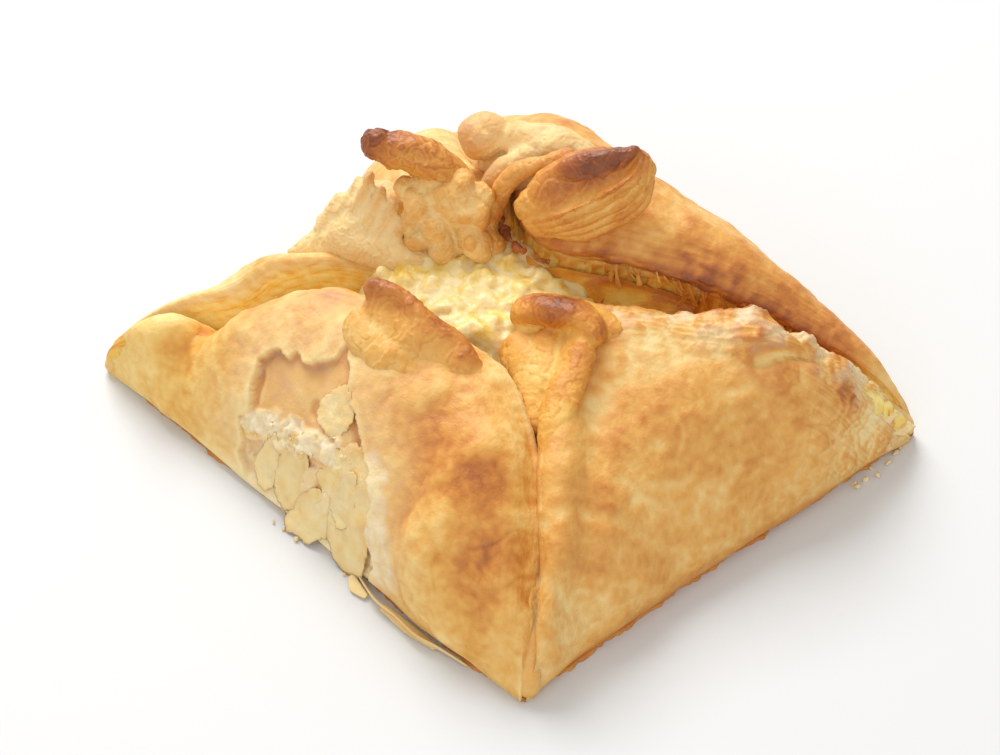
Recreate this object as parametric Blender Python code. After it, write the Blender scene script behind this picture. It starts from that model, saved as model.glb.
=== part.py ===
"""A baked puff pastry parcel: a square sheet folded over a cheese filling.

Each side of the footprint carries one flap. A flap climbs from the base edge to a free
edge, its rim, which runs from one corner of the footprint over the flap's tip to the
next corner. The four rims meet along four seams, and the tips curl outward round an
opening where the filling shows.

X runs along the longer side, Y along the shorter one and Z up. Sizes are in
millimetres, and MM turns them into Blender's metres.
"""

import math

import bmesh
import bpy
import numpy as np
from mathutils import Vector, noise

MM = 0.001

# Outline of the foot, side by side, as seen from above. The corners are near-left (-X -Y),
# near-right (+X -Y), far-right (+X +Y) and far-left (-X +Y).
FOOT_SOUTH = [(-46, -33), (-30, -34), (0, -36), (28, -37.5), (45, -37.5)]
FOOT_EAST = [(45.5, -37), (47, -22), (49, -4), (52, 16), (54.5, 35.5)]
FOOT_NORTH = [(54, 37), (34, 38.5), (6, 40), (-22, 39.5), (-40, 37.5)]
FOOT_WEST = [(-41, 37), (-43, 20), (-42.5, 2), (-43.5, -16), (-46.5, -32)]

# Rims: free edges of the flaps, as (x, y, height) from corner to corner over the tip.
RIM_SOUTH = [
    (-45, -32.5, 6), (-41, -31, 11), (-35, -27, 13.6), (-30, -23.5, 12.2), (-24.5, -19.5, 17.6),
    (-17.5, -14.5, 22.6), (-8, -12, 25), (5, -10, 26.5), (17, -10.5, 25.5), (25, -14.5, 22.5),
    (33.6, -21.5, 17.5), (40.5, -29.8, 12), (44.8, -35.8, 5),
]
RIM_EAST = [
    (45.8, -34.8, 5), (42, -28.6, 12.5), (34.8, -19.5, 18.5), (27, -11.5, 22), (17, -5, 24),
    (11.5, 0.5, 26), (18, 6.5, 26.5), (28, 14, 25), (36, 20, 25), (43.5, 25.2, 20.6),
    (50.5, 30.5, 14.2), (54, 34.5, 6),
]
RIM_NORTH = [
    (53.5, 36, 6), (48.5, 33.8, 12), (42, 30.5, 15.5), (33, 25.5, 19.5), (24, 21, 22.6),
    (14, 16, 25.5), (6, 13, 27.5), (-1, 14, 28), (-9, 20, 27), (-18, 26, 22), (-30, 32, 14),
    (-39.5, 36.5, 6),
]
RIM_WEST = [
    (-40.5, 35.5, 6), (-31, 29, 13.5), (-20, 22, 20.5), (-10, 16.5, 26), (-4, 11, 26), (-6.5, 3.5, 22.5),
    (-14, -1.5, 20.5), (-21, -7, 20.5), (-27, -12.5, 20.5), (-31.5, -17.5, 16.5), (-36, -22, 14.6),
    (-41, -27, 11), (-45.5, -31, 5.5),
]

# How each flap is arched from its foot to its rim, as values at even steps along the flap:
# "crest" is how high the skin turns over above the rim, "setback" is how far it does so
# back from the rim as a share of the way to the foot, "steepness" is how far the side
# rises straight from the foot as a share of the rim's height and "bulge" is how far it
# swings out.
ARCH_SOUTH = {
    "crest": [1, 3, 4, 5, 4, 4, 3, 1.5],
    "setback": [0.35, 0.35, 0.38, 0.4, 0.42, 0.42, 0.38, 0.35],
    "steepness": [0.5, 0.6, 0.62, 0.62, 0.62, 0.7, 0.7, 0.6],
    "bulge": [0, 1, 2, 2, 2, 2, 1, 0],
}
ARCH_EAST = {
    "crest": [1.5, 3, 3, 2, 3, 3.5, 2.5, 1],
    "setback": [0.35, 0.4, 0.4, 0.38, 0.36, 0.36, 0.35, 0.35],
    "steepness": [0.6, 0.7, 0.65, 0.6, 0.6, 0.6, 0.6, 0.5],
    "bulge": [0, 1, 2, 2, 2, 2, 1, 0],
}
ARCH_NORTH = {
    "crest": [1, 3, 7, 12, 13.5, 12, 7, 1.5],
    "setback": [0.4, 0.45, 0.5, 0.5, 0.5, 0.5, 0.45, 0.4],
    "steepness": [0.6, 0.75, 0.85, 0.9, 0.9, 0.85, 0.75, 0.6],
    "bulge": [0, 0.5, 1.5, 1.5, 1.5, 1, 0.5, 0],
}
ARCH_WEST = {
    "crest": [1.5, 5, 6, 2, 0, 0, 0.5, 1],
    "setback": [0.4, 0.45, 0.45, 0.42, 0.36, 0.3, 0.3, 0.3],
    "steepness": [0.6, 0.6, 0.5, 0.4, 0.33, 0.33, 0.4, 0.5],
    "bulge": [0, 0, -2, -5, -6, -4, -2, 0],
}

# Swells of the skin: ridges and hollows along a line, as (start, end, reach, height), with
# the line seen from above. A negative height is a hollow.
SWELL_SOUTH = [
    ((25, -33), (24, -19), 8, 2.0),
    ((-19, -28), (-5, -30), 8, -1.6),
    ((-34, -29), (-24, -23), 5, 0.8),
    ((27, -15.5), (44.5, -35), 1.7, -1.8),
]
SWELL_EAST = [
    ((21, 0), (45, -30), 3.0, 2.4),
    ((16, -5), (30, -13), 3.5, -1.8),
    ((30, -13), (45, -34), 1.5, -1.6),
    ((40, 0), (42, 20), 10, 1.2),
]
SWELL_NORTH = [((20, 27), (46, 35), 4, 0.8), ((-18, 28), (8, 29), 6, 1.0)]
SWELL_WEST = [((-27, -15), (-22, -7), 4, 0.6), ((-38, 10), (-30, 24), 8, 1.0)]

# Tips: the curled ends of the flaps and the folds of dough beside them. Each is a tongue
# swept along a path, with its half width and half thickness at every point of the path.
# "across" is the direction of its width.
TONGUES = {
    "lip_south": {
        "path": [(5, -13, 18), (5, -11, 24.5), (5.5, -12.5, 27), (6.5, -17, 26.5), (7, -20, 23.5)],
        "half_width": [10, 12, 13.5, 13, 9],
        "half_thickness": [3, 3, 3.4, 3.2, 2.2],
        "across": (1.0, -0.12, -0.14),
    },
    "hook_east": {
        "path": [(18, -0.5, 18), (15, 1.5, 24.5), (17.5, 3, 27.5), (21, 3, 27), (23, 0, 25)],
        "half_width": [4, 4.2, 4.5, 3.8, 2.5],
        "half_thickness": [2.5, 2.8, 2.6, 2.4, 2],
        "across": (-0.45, 0.9, 0.0),
    },
    "petal_north": {
        "path": [(2, 9, 26), (5.5, 12.5, 30.5), (10, 17, 34.5), (13, 20.5, 38), (15, 23.5, 41)],
        "half_width": [3.5, 7.5, 9, 7, 1.8],
        "half_thickness": [2.5, 4, 5, 4, 1.5],
        "across": (0.81, -0.04, -0.57),
    },
    "curl_north": {
        "path": [(0, 11.5, 26), (-1, 13, 31), (1, 16.5, 34.5), (5, 19.5, 36)],
        "half_width": [3, 2.8, 2.6, 2.4],
        "half_thickness": [2.2, 2.2, 2.2, 2],
        "across": (0.8, -0.6, 0.2),
    },
    "roll_north": {
        "path": [(-19, 22, 22), (-13, 21.5, 27.5), (-5, 22.5, 29), (3, 23.5, 29), (10, 23, 28.5)],
        "half_width": [4, 6, 6.5, 6.5, 5],
        "half_thickness": [3, 4.5, 5, 5, 4],
        "across": (0.0, 1.0, 0.0),
    },
    "thumb_west": {
        "path": [(-2, 12, 28), (-7, 10, 32), (-12.5, 7, 34.8), (-17, 4.8, 36.4), (-21, 3, 36)],
        "half_width": [4.5, 4.6, 4.4, 4, 2.8],
        "half_thickness": [3.5, 3.4, 3.2, 3, 2.4],
        "across": (0.4, -0.7, -0.6),
    },
    "knob_west": {
        "path": [(-19, 1.5, 23), (-13, 4.5, 26.5), (-7, 8, 27.5), (-2.5, 11, 26.5)],
        "half_width": [5.5, 6.2, 6.2, 4.5],
        "half_thickness": [5, 5.2, 5.2, 4.5],
        "across": (0.45, -0.65, -0.6),
    },
    "fold_west": {
        "path": [(-22.5, -6.5, 17), (-21.5, -2.5, 22.5), (-20, 1, 27), (-15, 5, 31)],
        "half_width": [4, 5, 5, 4.6],
        "half_thickness": [4, 4.2, 4.2, 4],
        "across": (0.6, -0.6, 0.5),
    },
}

GROOVE_DEPTH = 3.0  # the seams' floor below the rims beside them
CORE_TOP = 17.0  # height of the folded dough under the opening
SHEET_THICKNESS = 4.0  # bottom layer of dough

FILLING_CENTRE = (1.0, 2.0)
FILLING_HALF = (25.0, 19.0)
FILLING_FOOT = 5.0
FILLING_TOP = 24.5
FILLING_SQUARENESS = 1.6  # above 1 the heap has steeper sides than an ellipsoid
LUMP_SIZE = 5.0
LUMP_HEIGHT = 1.6
FIT_GAP = 0.35  # between the filling and the dough round it

VOXEL = 0.9
SMOOTHING_PASSES = 5
FOOT_TRIM = 0.4  # shaved off underneath, so that the foot is flat
PASTRY_TRIANGLES = 7600
STEPS_ALONG = 60
STEPS_UP = 14
TONGUE_SIDES = 14

CRUST = {"colour": (0.80, 0.53, 0.22), "roughness": 0.55}
CHEESE = {"colour": (0.93, 0.85, 0.55), "roughness": 0.75}


def smooth_curve(points, count):
    """Points at even steps along a Catmull-Rom curve through the given ones."""
    knots = np.array(points, float)
    knots = np.vstack([2 * knots[0] - knots[1], knots, 2 * knots[-1] - knots[-2]])
    fine = []
    for k in range(1, len(knots) - 2):
        before, start, end, after = knots[k - 1 : k + 3]
        for t in np.linspace(0, 1, 24, endpoint=False):
            fine.append(
                0.5
                * (
                    2 * start
                    + (end - before) * t
                    + (2 * before - 5 * start + 4 * end - after) * t**2
                    + (3 * start - before - 3 * end + after) * t**3
                )
            )
    fine.append(knots[-2])
    fine = np.array(fine)
    travelled = np.concatenate([[0], np.cumsum(np.linalg.norm(np.diff(fine, axis=0), axis=1))])
    even = np.linspace(0, travelled[-1], count)
    return np.stack([np.interp(even, travelled, column) for column in fine.T], axis=1)


def closed_mesh(name, vertices, faces):
    """An object from vertices in millimetres, with its faces turned outward."""
    mesh = bpy.data.meshes.new(name)
    mesh.from_pydata([tuple(float(c) * MM for c in v) for v in vertices], [], faces)
    shape = bmesh.new()
    shape.from_mesh(mesh)
    bmesh.ops.recalc_face_normals(shape, faces=shape.faces)
    shape.to_mesh(mesh)
    shape.free()
    obj = bpy.data.objects.new(name, mesh)
    bpy.context.scene.collection.objects.link(obj)
    return obj


def along_flap(values):
    """The values of a flap's arch at every step along it, as a column."""
    knots = np.linspace(0, 1, len(values))
    return np.interp(np.linspace(0, 1, STEPS_ALONG + 1), knots, values)[:, None]


def swell(skin, swells):
    """Raises or sinks a grid of skin points square to the skin, near the swells' lines."""
    normal = np.cross(np.gradient(skin, axis=0), np.gradient(skin, axis=1))
    normal /= np.maximum(np.linalg.norm(normal, axis=2, keepdims=True), 1e-9)
    if normal[..., 2].mean() < 0:
        normal = -normal
    height = np.zeros(skin.shape[:2])
    for start, end, reach, amount in swells:
        start, end = np.array(start, float), np.array(end, float)
        way = end - start
        share = np.clip(((skin[..., :2] - start) @ way) / (way @ way), 0, 1)
        away = np.linalg.norm(skin[..., :2] - start - share[..., None] * way, axis=2)
        height += amount * np.exp(-((away / reach) ** 2))
    height *= np.minimum(1, np.linspace(0, 1, skin.shape[1]) / 0.15)
    return skin + normal * height[..., None]


def flap_skin(foot, rim, arch, swells):
    """A grid of points on a flap's outside, arched from the foot to the rim."""
    low = smooth_curve(foot, STEPS_ALONG + 1)
    high = smooth_curve(rim, STEPS_ALONG + 1)
    start = np.column_stack([low, np.zeros(len(low))])
    side = low[-1] - low[0]
    outward = np.array([side[1], -side[0], 0.0]) / np.linalg.norm(side)
    crest, setback, steepness, bulge = (
        along_flap(arch[key]) for key in ("crest", "setback", "steepness", "bulge")
    )
    up = np.array([0.0, 0.0, 1.0])
    rise = start + outward * bulge + up * steepness * high[:, 2:]
    level = (start - high) * [1, 1, 0]
    top = high + level * setback + up * crest
    t = np.linspace(0, 1, STEPS_UP + 1)[None, :, None]
    rows = [p[:, None, :] for p in (start, rise, top, high)]
    skin = (1 - t) ** 3 * rows[0] + 3 * (1 - t) ** 2 * t * rows[1]
    skin = skin + 3 * (1 - t) * t**2 * rows[2] + t**3 * rows[3]
    return swell(skin, swells)


def flap(name, foot, rim, arch, swells):
    """A solid flap: its skin, a drop under the rim and a flat bottom."""
    skin = flap_skin(foot, rim, arch, swells)
    drop = skin[:, -1:] * [1, 1, 0]
    column = STEPS_UP + 2
    vertices = np.concatenate([skin, drop], axis=1).reshape(-1, 3)
    faces = [tuple(range(column)), tuple(STEPS_ALONG * column + k for k in reversed(range(column)))]
    for i in range(STEPS_ALONG):
        for k in range(column):
            here, there = i * column, (i + 1) * column
            nxt = (k + 1) % column
            faces.append((here + k, there + k, there + nxt, here + nxt))
    return closed_mesh(name, vertices, faces)


def tongue(name, path, half_width, half_thickness, across):
    """A curled tip: rounded flat sections swept along a path, closed at both ends."""
    stations = 4 * (len(path) - 1) + 1
    line = smooth_curve(path, stations)
    knots = np.linspace(0, 1, len(path))
    share = np.linspace(0, 1, stations)
    widths = np.interp(share, knots, half_width)
    thicknesses = np.interp(share, knots, half_thickness)
    across = np.array(across, float)
    vertices = []
    for i in range(stations):
        along = line[min(i + 1, stations - 1)] - line[max(i - 1, 0)]
        wide = across - along * np.dot(across, along) / np.dot(along, along)
        wide /= np.linalg.norm(wide)
        thick = np.cross(along, wide)
        thick /= np.linalg.norm(thick)
        for k in range(TONGUE_SIDES):
            angle = 2 * math.pi * k / TONGUE_SIDES
            vertices.append(
                line[i] + wide * widths[i] * math.cos(angle) + thick * thicknesses[i] * math.sin(angle)
            )
    faces = [tuple(range(TONGUE_SIDES)), tuple((stations - 1) * TONGUE_SIDES + k for k in range(TONGUE_SIDES))]
    for i in range(stations - 1):
        for k in range(TONGUE_SIDES):
            here, there = i * TONGUE_SIDES, (i + 1) * TONGUE_SIDES
            nxt = (k + 1) % TONGUE_SIDES
            faces.append((here + k, there + k, there + nxt, here + nxt))
    return closed_mesh(name, vertices, faces)


def prism(name, ring, roof, apex=None):
    """A block over a ring of (x, y) points, from the ground to a height for each point."""
    count = len(ring)
    vertices = [(x, y, 0.0) for x, y in ring] + [(x, y, z) for (x, y), z in zip(ring, roof)]
    faces = [tuple(range(count))]
    for k in range(count):
        nxt = (k + 1) % count
        faces.append((k, nxt, count + nxt, count + k))
        if apex is not None:
            faces.append((count + k, count + nxt, 2 * count))
    if apex is None:
        faces.append(tuple(count + k for k in range(count)))
    else:
        vertices.append(apex)
    return closed_mesh(name, vertices, faces)


def bottom_sheet():
    """The part of the dough sheet that lies under the filling."""
    ring = [tuple(p) for side in (FOOT_SOUTH, FOOT_EAST, FOOT_NORTH, FOOT_WEST) for p in smooth_curve(side, 24)]
    return prism("bottom_sheet", ring, [SHEET_THICKNESS] * len(ring))


def seam_floor():
    """Dough pressed together under the seams: a roof just below the four rims."""
    rims = [smooth_curve(rim, 40) for rim in (RIM_SOUTH, RIM_EAST, RIM_NORTH, RIM_WEST)]
    points = np.vstack(rims)
    roof = np.maximum(points[:, 2] - GROOVE_DEPTH, 2.0)
    centre = points[:, :2].mean(axis=0)
    return prism("seam_floor", [tuple(p) for p in points[:, :2]], roof, (*centre, CORE_TOP))


def material(name, finish):
    made = bpy.data.materials.new(name)
    made.use_nodes = True
    shader = made.node_tree.nodes["Principled BSDF"]
    shader.inputs["Base Color"].default_value = (*finish["colour"], 1.0)
    shader.inputs["Roughness"].default_value = finish["roughness"]
    return made


def apply_modifiers(obj):
    """Replaces the object's mesh with what its modifiers make of it."""
    graph = bpy.context.evaluated_depsgraph_get()
    made = bpy.data.meshes.new_from_object(obj.evaluated_get(graph))
    obj.modifiers.clear()
    obj.data = made


def join(name, objects):
    """One object that holds the shapes of several, which are then removed."""
    shape = bmesh.new()
    for obj in objects:
        shape.from_mesh(obj.data)
        bpy.data.objects.remove(obj)
    mesh = bpy.data.meshes.new(name)
    shape.to_mesh(mesh)
    shape.free()
    made = bpy.data.objects.new(name, mesh)
    bpy.context.scene.collection.objects.link(made)
    return made


def filling():
    """The heap of curd cheese: a squarish dome on a flat foot, lumpy on top."""
    shape = bmesh.new()
    bmesh.ops.create_icosphere(shape, subdivisions=4, radius=1.0)
    middle = Vector((*FILLING_CENTRE, FILLING_FOOT))
    for vertex in shape.verts:
        x, y, z = vertex.co
        reach = math.hypot(x, y)
        spread = reach ** (1 / FILLING_SQUARENESS) / reach if reach > 1e-6 else 1.0
        place = Vector((x * spread * FILLING_HALF[0], y * spread * FILLING_HALF[1], 0.0))
        place.z = max(z, 0.0) * (FILLING_TOP - FILLING_FOOT)
        place += middle
        if z > 0.0:
            place.z += LUMP_HEIGHT * noise.noise(place / LUMP_SIZE) * min(1.0, 2 * z)
        vertex.co = place * MM
    mesh = bpy.data.meshes.new("filling")
    shape.to_mesh(mesh)
    shape.free()
    obj = bpy.data.objects.new("filling", mesh)
    bpy.context.scene.collection.objects.link(obj)
    return obj


def swollen(obj, gap):
    """A copy of a shape with its skin pushed out by a gap, for cutting its hollow."""
    mesh = obj.data.copy()
    shape = bmesh.new()
    shape.from_mesh(mesh)
    shape.normal_update()
    for vertex in shape.verts:
        vertex.co += vertex.normal * gap
    shape.to_mesh(mesh)
    shape.free()
    copy = bpy.data.objects.new(obj.name + "_room", mesh)
    bpy.context.scene.collection.objects.link(copy)
    return copy


def cut_away(obj, cutter):
    """Takes the cutter's room out of an object and removes the cutter."""
    cutter.hide_render = True
    cutter.display_type = "WIRE"
    cut = obj.modifiers.new("cut", "BOOLEAN")
    cut.operation = "DIFFERENCE"
    cut.solver = "EXACT"
    cut.object = cutter
    apply_modifiers(obj)
    bpy.data.objects.remove(cutter)


def keep_largest_body(obj):
    """Drops loose specks and closed bubbles, which are bodies apart from the main one."""
    shape = bmesh.new()
    shape.from_mesh(obj.data)
    waiting = set(shape.verts)
    bodies = []
    while waiting:
        found = [waiting.pop()]
        for vertex in found:
            for edge in vertex.link_edges:
                other = edge.other_vert(vertex)
                if other in waiting:
                    waiting.remove(other)
                    found.append(other)
        bodies.append(found)
    bodies.sort(key=len)
    specks = [vertex for body in bodies[:-1] for vertex in body]
    bmesh.ops.delete(shape, geom=specks, context="VERTS")
    shape.to_mesh(obj.data)
    shape.free()


def put_on_origin(objects):
    """Moves the shapes so that the middle of the pastry's foot is the origin."""
    corners = np.array([vertex.co[:] for vertex in objects[0].data.vertices])
    low, high = corners.min(axis=0), corners.max(axis=0)
    move = Vector((-(low[0] + high[0]) / 2, -(low[1] + high[1]) / 2, -low[2]))
    for obj in objects:
        for vertex in obj.data.vertices:
            vertex.co += move


def main():
    for obj in list(bpy.data.objects):
        bpy.data.objects.remove(obj)

    pieces = [
        bottom_sheet(),
        seam_floor(),
        flap("flap_south", FOOT_SOUTH, RIM_SOUTH, ARCH_SOUTH, SWELL_SOUTH),
        flap("flap_east", FOOT_EAST, RIM_EAST, ARCH_EAST, SWELL_EAST),
        flap("flap_north", FOOT_NORTH, RIM_NORTH, ARCH_NORTH, SWELL_NORTH),
        flap("flap_west", FOOT_WEST, RIM_WEST, ARCH_WEST, SWELL_WEST),
    ]
    pieces += [tongue(name, **shape) for name, shape in TONGUES.items()]
    pastry = join("pastry", pieces)
    remesh = pastry.modifiers.new("bake_together", "REMESH")
    remesh.mode = "VOXEL"
    remesh.voxel_size = VOXEL * MM
    smooth = pastry.modifiers.new("soften", "SMOOTH")
    smooth.iterations = SMOOTHING_PASSES
    apply_modifiers(pastry)

    decimate = pastry.modifiers.new("fewer_faces", "DECIMATE")
    decimate.ratio = PASTRY_TRIANGLES / (2 * len(pastry.data.polygons))
    apply_modifiers(pastry)

    under = [(-80, -80), (80, -80), (80, 80), (-80, 80)]
    cut_away(pastry, prism("under", under, [FOOT_TRIM] * 4))
    heap = filling()
    cut_away(pastry, swollen(heap, FIT_GAP * MM))
    keep_largest_body(pastry)
    put_on_origin([pastry, heap])

    pastry.data.materials.append(material("baked_crust", CRUST))
    heap.data.materials.append(material("curd_cheese", CHEESE))
    for obj in (pastry, heap):
        obj.data.shade_smooth()


main()
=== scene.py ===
# %% [markdown]
# # A baked puff pastry parcel
#
# The real thing is a square of laminated dough, many thin sheets with butter between them,
# folded over a spoonful of curd cheese so that its four corners meet in the middle. In the
# oven the sheets part, the corners curl outward, and whatever stands up browns first.
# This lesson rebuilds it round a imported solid: four folded flaps, their curled tips, the
# torn and flaking places, and the cheese.

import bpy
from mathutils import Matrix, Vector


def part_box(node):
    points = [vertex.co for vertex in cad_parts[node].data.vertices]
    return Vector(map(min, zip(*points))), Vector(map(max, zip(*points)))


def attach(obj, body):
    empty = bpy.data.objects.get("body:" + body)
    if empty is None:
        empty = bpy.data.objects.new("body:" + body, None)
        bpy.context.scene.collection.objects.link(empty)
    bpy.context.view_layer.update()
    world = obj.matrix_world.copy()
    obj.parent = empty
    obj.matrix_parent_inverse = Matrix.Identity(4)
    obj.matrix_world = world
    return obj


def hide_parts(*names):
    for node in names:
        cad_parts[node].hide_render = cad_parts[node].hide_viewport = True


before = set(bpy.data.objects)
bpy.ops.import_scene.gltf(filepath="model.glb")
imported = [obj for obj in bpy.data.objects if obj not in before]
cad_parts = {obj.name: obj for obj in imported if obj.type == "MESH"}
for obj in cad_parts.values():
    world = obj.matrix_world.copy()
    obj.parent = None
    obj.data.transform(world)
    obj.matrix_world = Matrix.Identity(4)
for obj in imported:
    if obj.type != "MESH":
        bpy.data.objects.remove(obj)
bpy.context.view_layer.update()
print("solid parts:", sorted(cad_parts))

# %% [markdown]
# ## Measures
#
# Everything below is written in millimetres, as a pastry cook would measure it, and turned
# into metres when a mesh is made. The heap of filling is drawn round (1, 2) on the same
# plan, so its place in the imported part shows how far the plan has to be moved.

# %% Units and place
import itertools
import math

import bpy
import numpy as np
from mathutils import Matrix, Vector
from mathutils.bvhtree import BVHTree

MM = 0.001
heap_low, heap_high = (np.array(corner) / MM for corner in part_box("filling"))
PLACE = np.array([*((heap_low + heap_high)[:2] / 2 - (1.0, 2.0)), -0.4])
print("plan moved by", PLACE.round(2), "mm")

# %% [markdown]
# ## Tools for shaping dough
#
# Baked dough has no flat faces, so the shapes are grids and balls, added as primitives and
# then shaped point by point. A curve through a few named points gives the edges, and a
# smooth random field gives the small unevenness of something made by hand.

# %% A smooth curve through points
def curve_through(points, count):
    knots = np.array(points, float)
    knots = np.vstack([2 * knots[0] - knots[1], knots, 2 * knots[-1] - knots[-2]])
    fine = []
    for k in range(1, len(knots) - 2):
        before, start, end, after = knots[k - 1 : k + 3]
        for t in np.linspace(0, 1, 32, endpoint=False):
            fine.append(
                0.5
                * (
                    2 * start
                    + (end - before) * t
                    + (2 * before - 5 * start + 4 * end - after) * t**2
                    + (3 * start - before - 3 * end + after) * t**3
                )
            )
    fine = np.array(fine + [knots[-2]])
    travelled = np.concatenate([[0], np.cumsum(np.linalg.norm(np.diff(fine, axis=0), axis=1))])
    even = np.linspace(0, travelled[-1], count)
    return np.stack([np.interp(even, travelled, column) for column in fine.T], axis=1)


# %% Smooth random heights
TURNED = np.array([[0.36, 0.48, -0.8], [-0.8, 0.6, 0.0], [0.48, 0.64, 0.6]])


def uneven(points, size, seed=0):
    """Random heights from about -1 to 1 at points in mm, whose bumps are about size mm across."""
    place = np.asarray(points, float) @ TURNED / size + seed * 7.31
    cell = np.floor(place).astype(np.int64)
    part = place - cell
    ease = part**3 * (part * (part * 6 - 15) + 10)
    total = np.zeros(part.shape[:-1])
    for corner in itertools.product((0, 1), repeat=3):
        spot = cell + corner
        mixed = (spot[..., 0] * 73856093) ^ (spot[..., 1] * 19349663) ^ (spot[..., 2] * 83492791)
        mixed = (mixed ^ (mixed >> 13)) * 1274126177 & 0x7FFFFFFF
        turn, lift = mixed % 1009 / 1009 * 2 * math.pi, mixed // 1009 % 997 / 997 * 2 - 1
        flat = np.sqrt(1 - lift**2)
        away = part - corner
        slope = away[..., 0] * flat * np.cos(turn) + away[..., 1] * flat * np.sin(turn) + away[..., 2] * lift
        total += slope * np.prod(np.where(corner, ease, 1 - ease), axis=-1)
    return total * 1.7


def step(value, low, high):
    """0 below low and 1 above high, with a soft change between."""
    t = np.clip((value - low) / (high - low), 0, 1)
    return t * t * (3 - 2 * t)


# %% Square to a grid
def square_to(grid):
    """Unit directions square to a grid of points, pointing up on the whole."""
    out = np.cross(np.gradient(grid, axis=0), np.gradient(grid, axis=1))
    out /= np.maximum(np.linalg.norm(out, axis=2, keepdims=True), 1e-9)
    return -out if out[..., 2].mean() < 0 else out


# %% Primitives shaped by an array of points
def deselect():
    if bpy.context.object and bpy.context.object.mode != "OBJECT":
        bpy.ops.object.mode_set(mode="OBJECT")
    bpy.ops.object.select_all(action="DESELECT")


def move_points(piece, points):
    """Puts a mesh's vertices at points given in mm on the plan."""
    flat = ((np.asarray(points).reshape(-1, 3) + PLACE) * MM).astype(np.float32)
    piece.data.vertices.foreach_set("co", flat.ravel())
    piece.data.update()


def points_of(piece):
    flat = np.empty(len(piece.data.vertices) * 3, np.float32)
    piece.data.vertices.foreach_get("co", flat)
    return flat.reshape(-1, 3).astype(float) / MM - PLACE


def note(piece, name, values):
    """Stores one number for each vertex, which a material can read."""
    layer = piece.data.attributes.get(name) or piece.data.attributes.new(name, "FLOAT", "POINT")
    layer.data.foreach_set("value", np.asarray(values, np.float32).ravel())


def noted(piece, name):
    values = np.zeros(len(piece.data.vertices), np.float32)
    if name in piece.data.attributes:
        piece.data.attributes[name].data.foreach_get("value", values)
    return values.astype(float)


def grid_piece(name, points):
    """A grid primitive whose vertices are moved to an array of (row, column) points."""
    rows, columns = points.shape[:2]
    deselect()
    bpy.ops.mesh.primitive_grid_add(x_subdivisions=columns - 1, y_subdivisions=rows - 1, size=2)
    piece = bpy.context.object
    piece.name = piece.data.name = name
    move_points(piece, points)
    return piece


def close_up(piece):
    """Merges edges that meet, fills the open ends and turns every face outward."""
    bpy.ops.object.mode_set(mode="EDIT")
    bpy.ops.mesh.select_all(action="SELECT")
    bpy.ops.mesh.remove_doubles(threshold=0.00001)
    bpy.ops.mesh.select_all(action="SELECT")
    bpy.ops.mesh.fill_holes(sides=0)
    bpy.ops.mesh.select_all(action="SELECT")
    bpy.ops.mesh.normals_make_consistent(inside=False)
    bpy.ops.object.mode_set(mode="OBJECT")
    bpy.ops.object.shade_smooth()
    print(f"{piece.name}: {len(piece.data.polygons)} faces")
    return piece


# %% [markdown]
# ## The four flaps
#
# A flap is one side of the dough square, folded up and over. Its foot is a nearly straight
# crease on the baking sheet, and its rim is the cut edge of the dough, which runs from one
# corner of the parcel over the flap's tip to the next corner. The skin between them could be
# sculpted freehand, but a grid stretched from foot to rim keeps the fold lines readable and
# puts rows of points exactly along the cut edge, where the layers show.

# %% Feet and rims of the flaps
FOOT = {
    "south": [(-46, -33), (-30, -34), (0, -36), (28, -37.5), (45, -37.5)],
    "east": [(45.5, -37), (47, -22), (49, -4), (52, 16), (54.5, 35.5)],
    "north": [(54, 37), (34, 38.5), (6, 40), (-22, 39.5), (-40, 37.5)],
    "west": [(-41, 37), (-43, 20), (-42.5, 2), (-43.5, -16), (-46.5, -32)],
}
RIM = {
    "south": [
        (-45, -32.5, 6), (-41, -31, 11), (-35, -27, 13.6), (-30, -23.5, 12.2), (-24.5, -19.5, 17.6),
        (-17.5, -14.5, 22.6), (-8, -12, 25), (5, -10, 26.5), (17, -10.5, 25.5), (25, -14.5, 22.5),
        (33.6, -21.5, 17.5), (40.5, -29.8, 12), (44.8, -35.8, 5),
    ],
    "east": [
        (45.8, -34.8, 5), (42, -28.6, 12.5), (34.8, -19.5, 18.5), (27, -11.5, 22), (17, -5, 24),
        (11.5, 0.5, 26), (18, 6.5, 26.5), (28, 14, 25), (36, 20, 25), (43.5, 25.2, 20.6),
        (50.5, 30.5, 14.2), (54, 34.5, 6),
    ],
    "north": [
        (53.5, 36, 6), (48.8, 33.4, 13.2), (42, 30.8, 17.4), (33, 27, 22), (24, 23, 25),
        (14, 17, 27.5), (6, 13, 28), (-1, 14, 28), (-9, 20, 27), (-18, 26, 22), (-30, 32, 14),
        (-39.5, 36.5, 6),
    ],
    "west": [
        (-40.5, 35.5, 6), (-31, 29, 13.5), (-20, 22, 20.5), (-10, 16.5, 26), (-4, 11, 26),
        (-6.5, 3.5, 22.5), (-14, -1.5, 20.5), (-21, -7, 20.5), (-27, -12.5, 20.5), (-31.5, -17.5, 16.5),
        (-36, -22, 14.6), (-41, -27, 11), (-45.5, -31, 5.5),
    ],
}

# %% [markdown]
# Between foot and rim the dough arches. Each flap's arch is given by four rows of numbers at
# even steps along it: how high it turns over above the rim, how far back it does so, how
# steeply the side starts, and how far it swings out.

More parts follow.
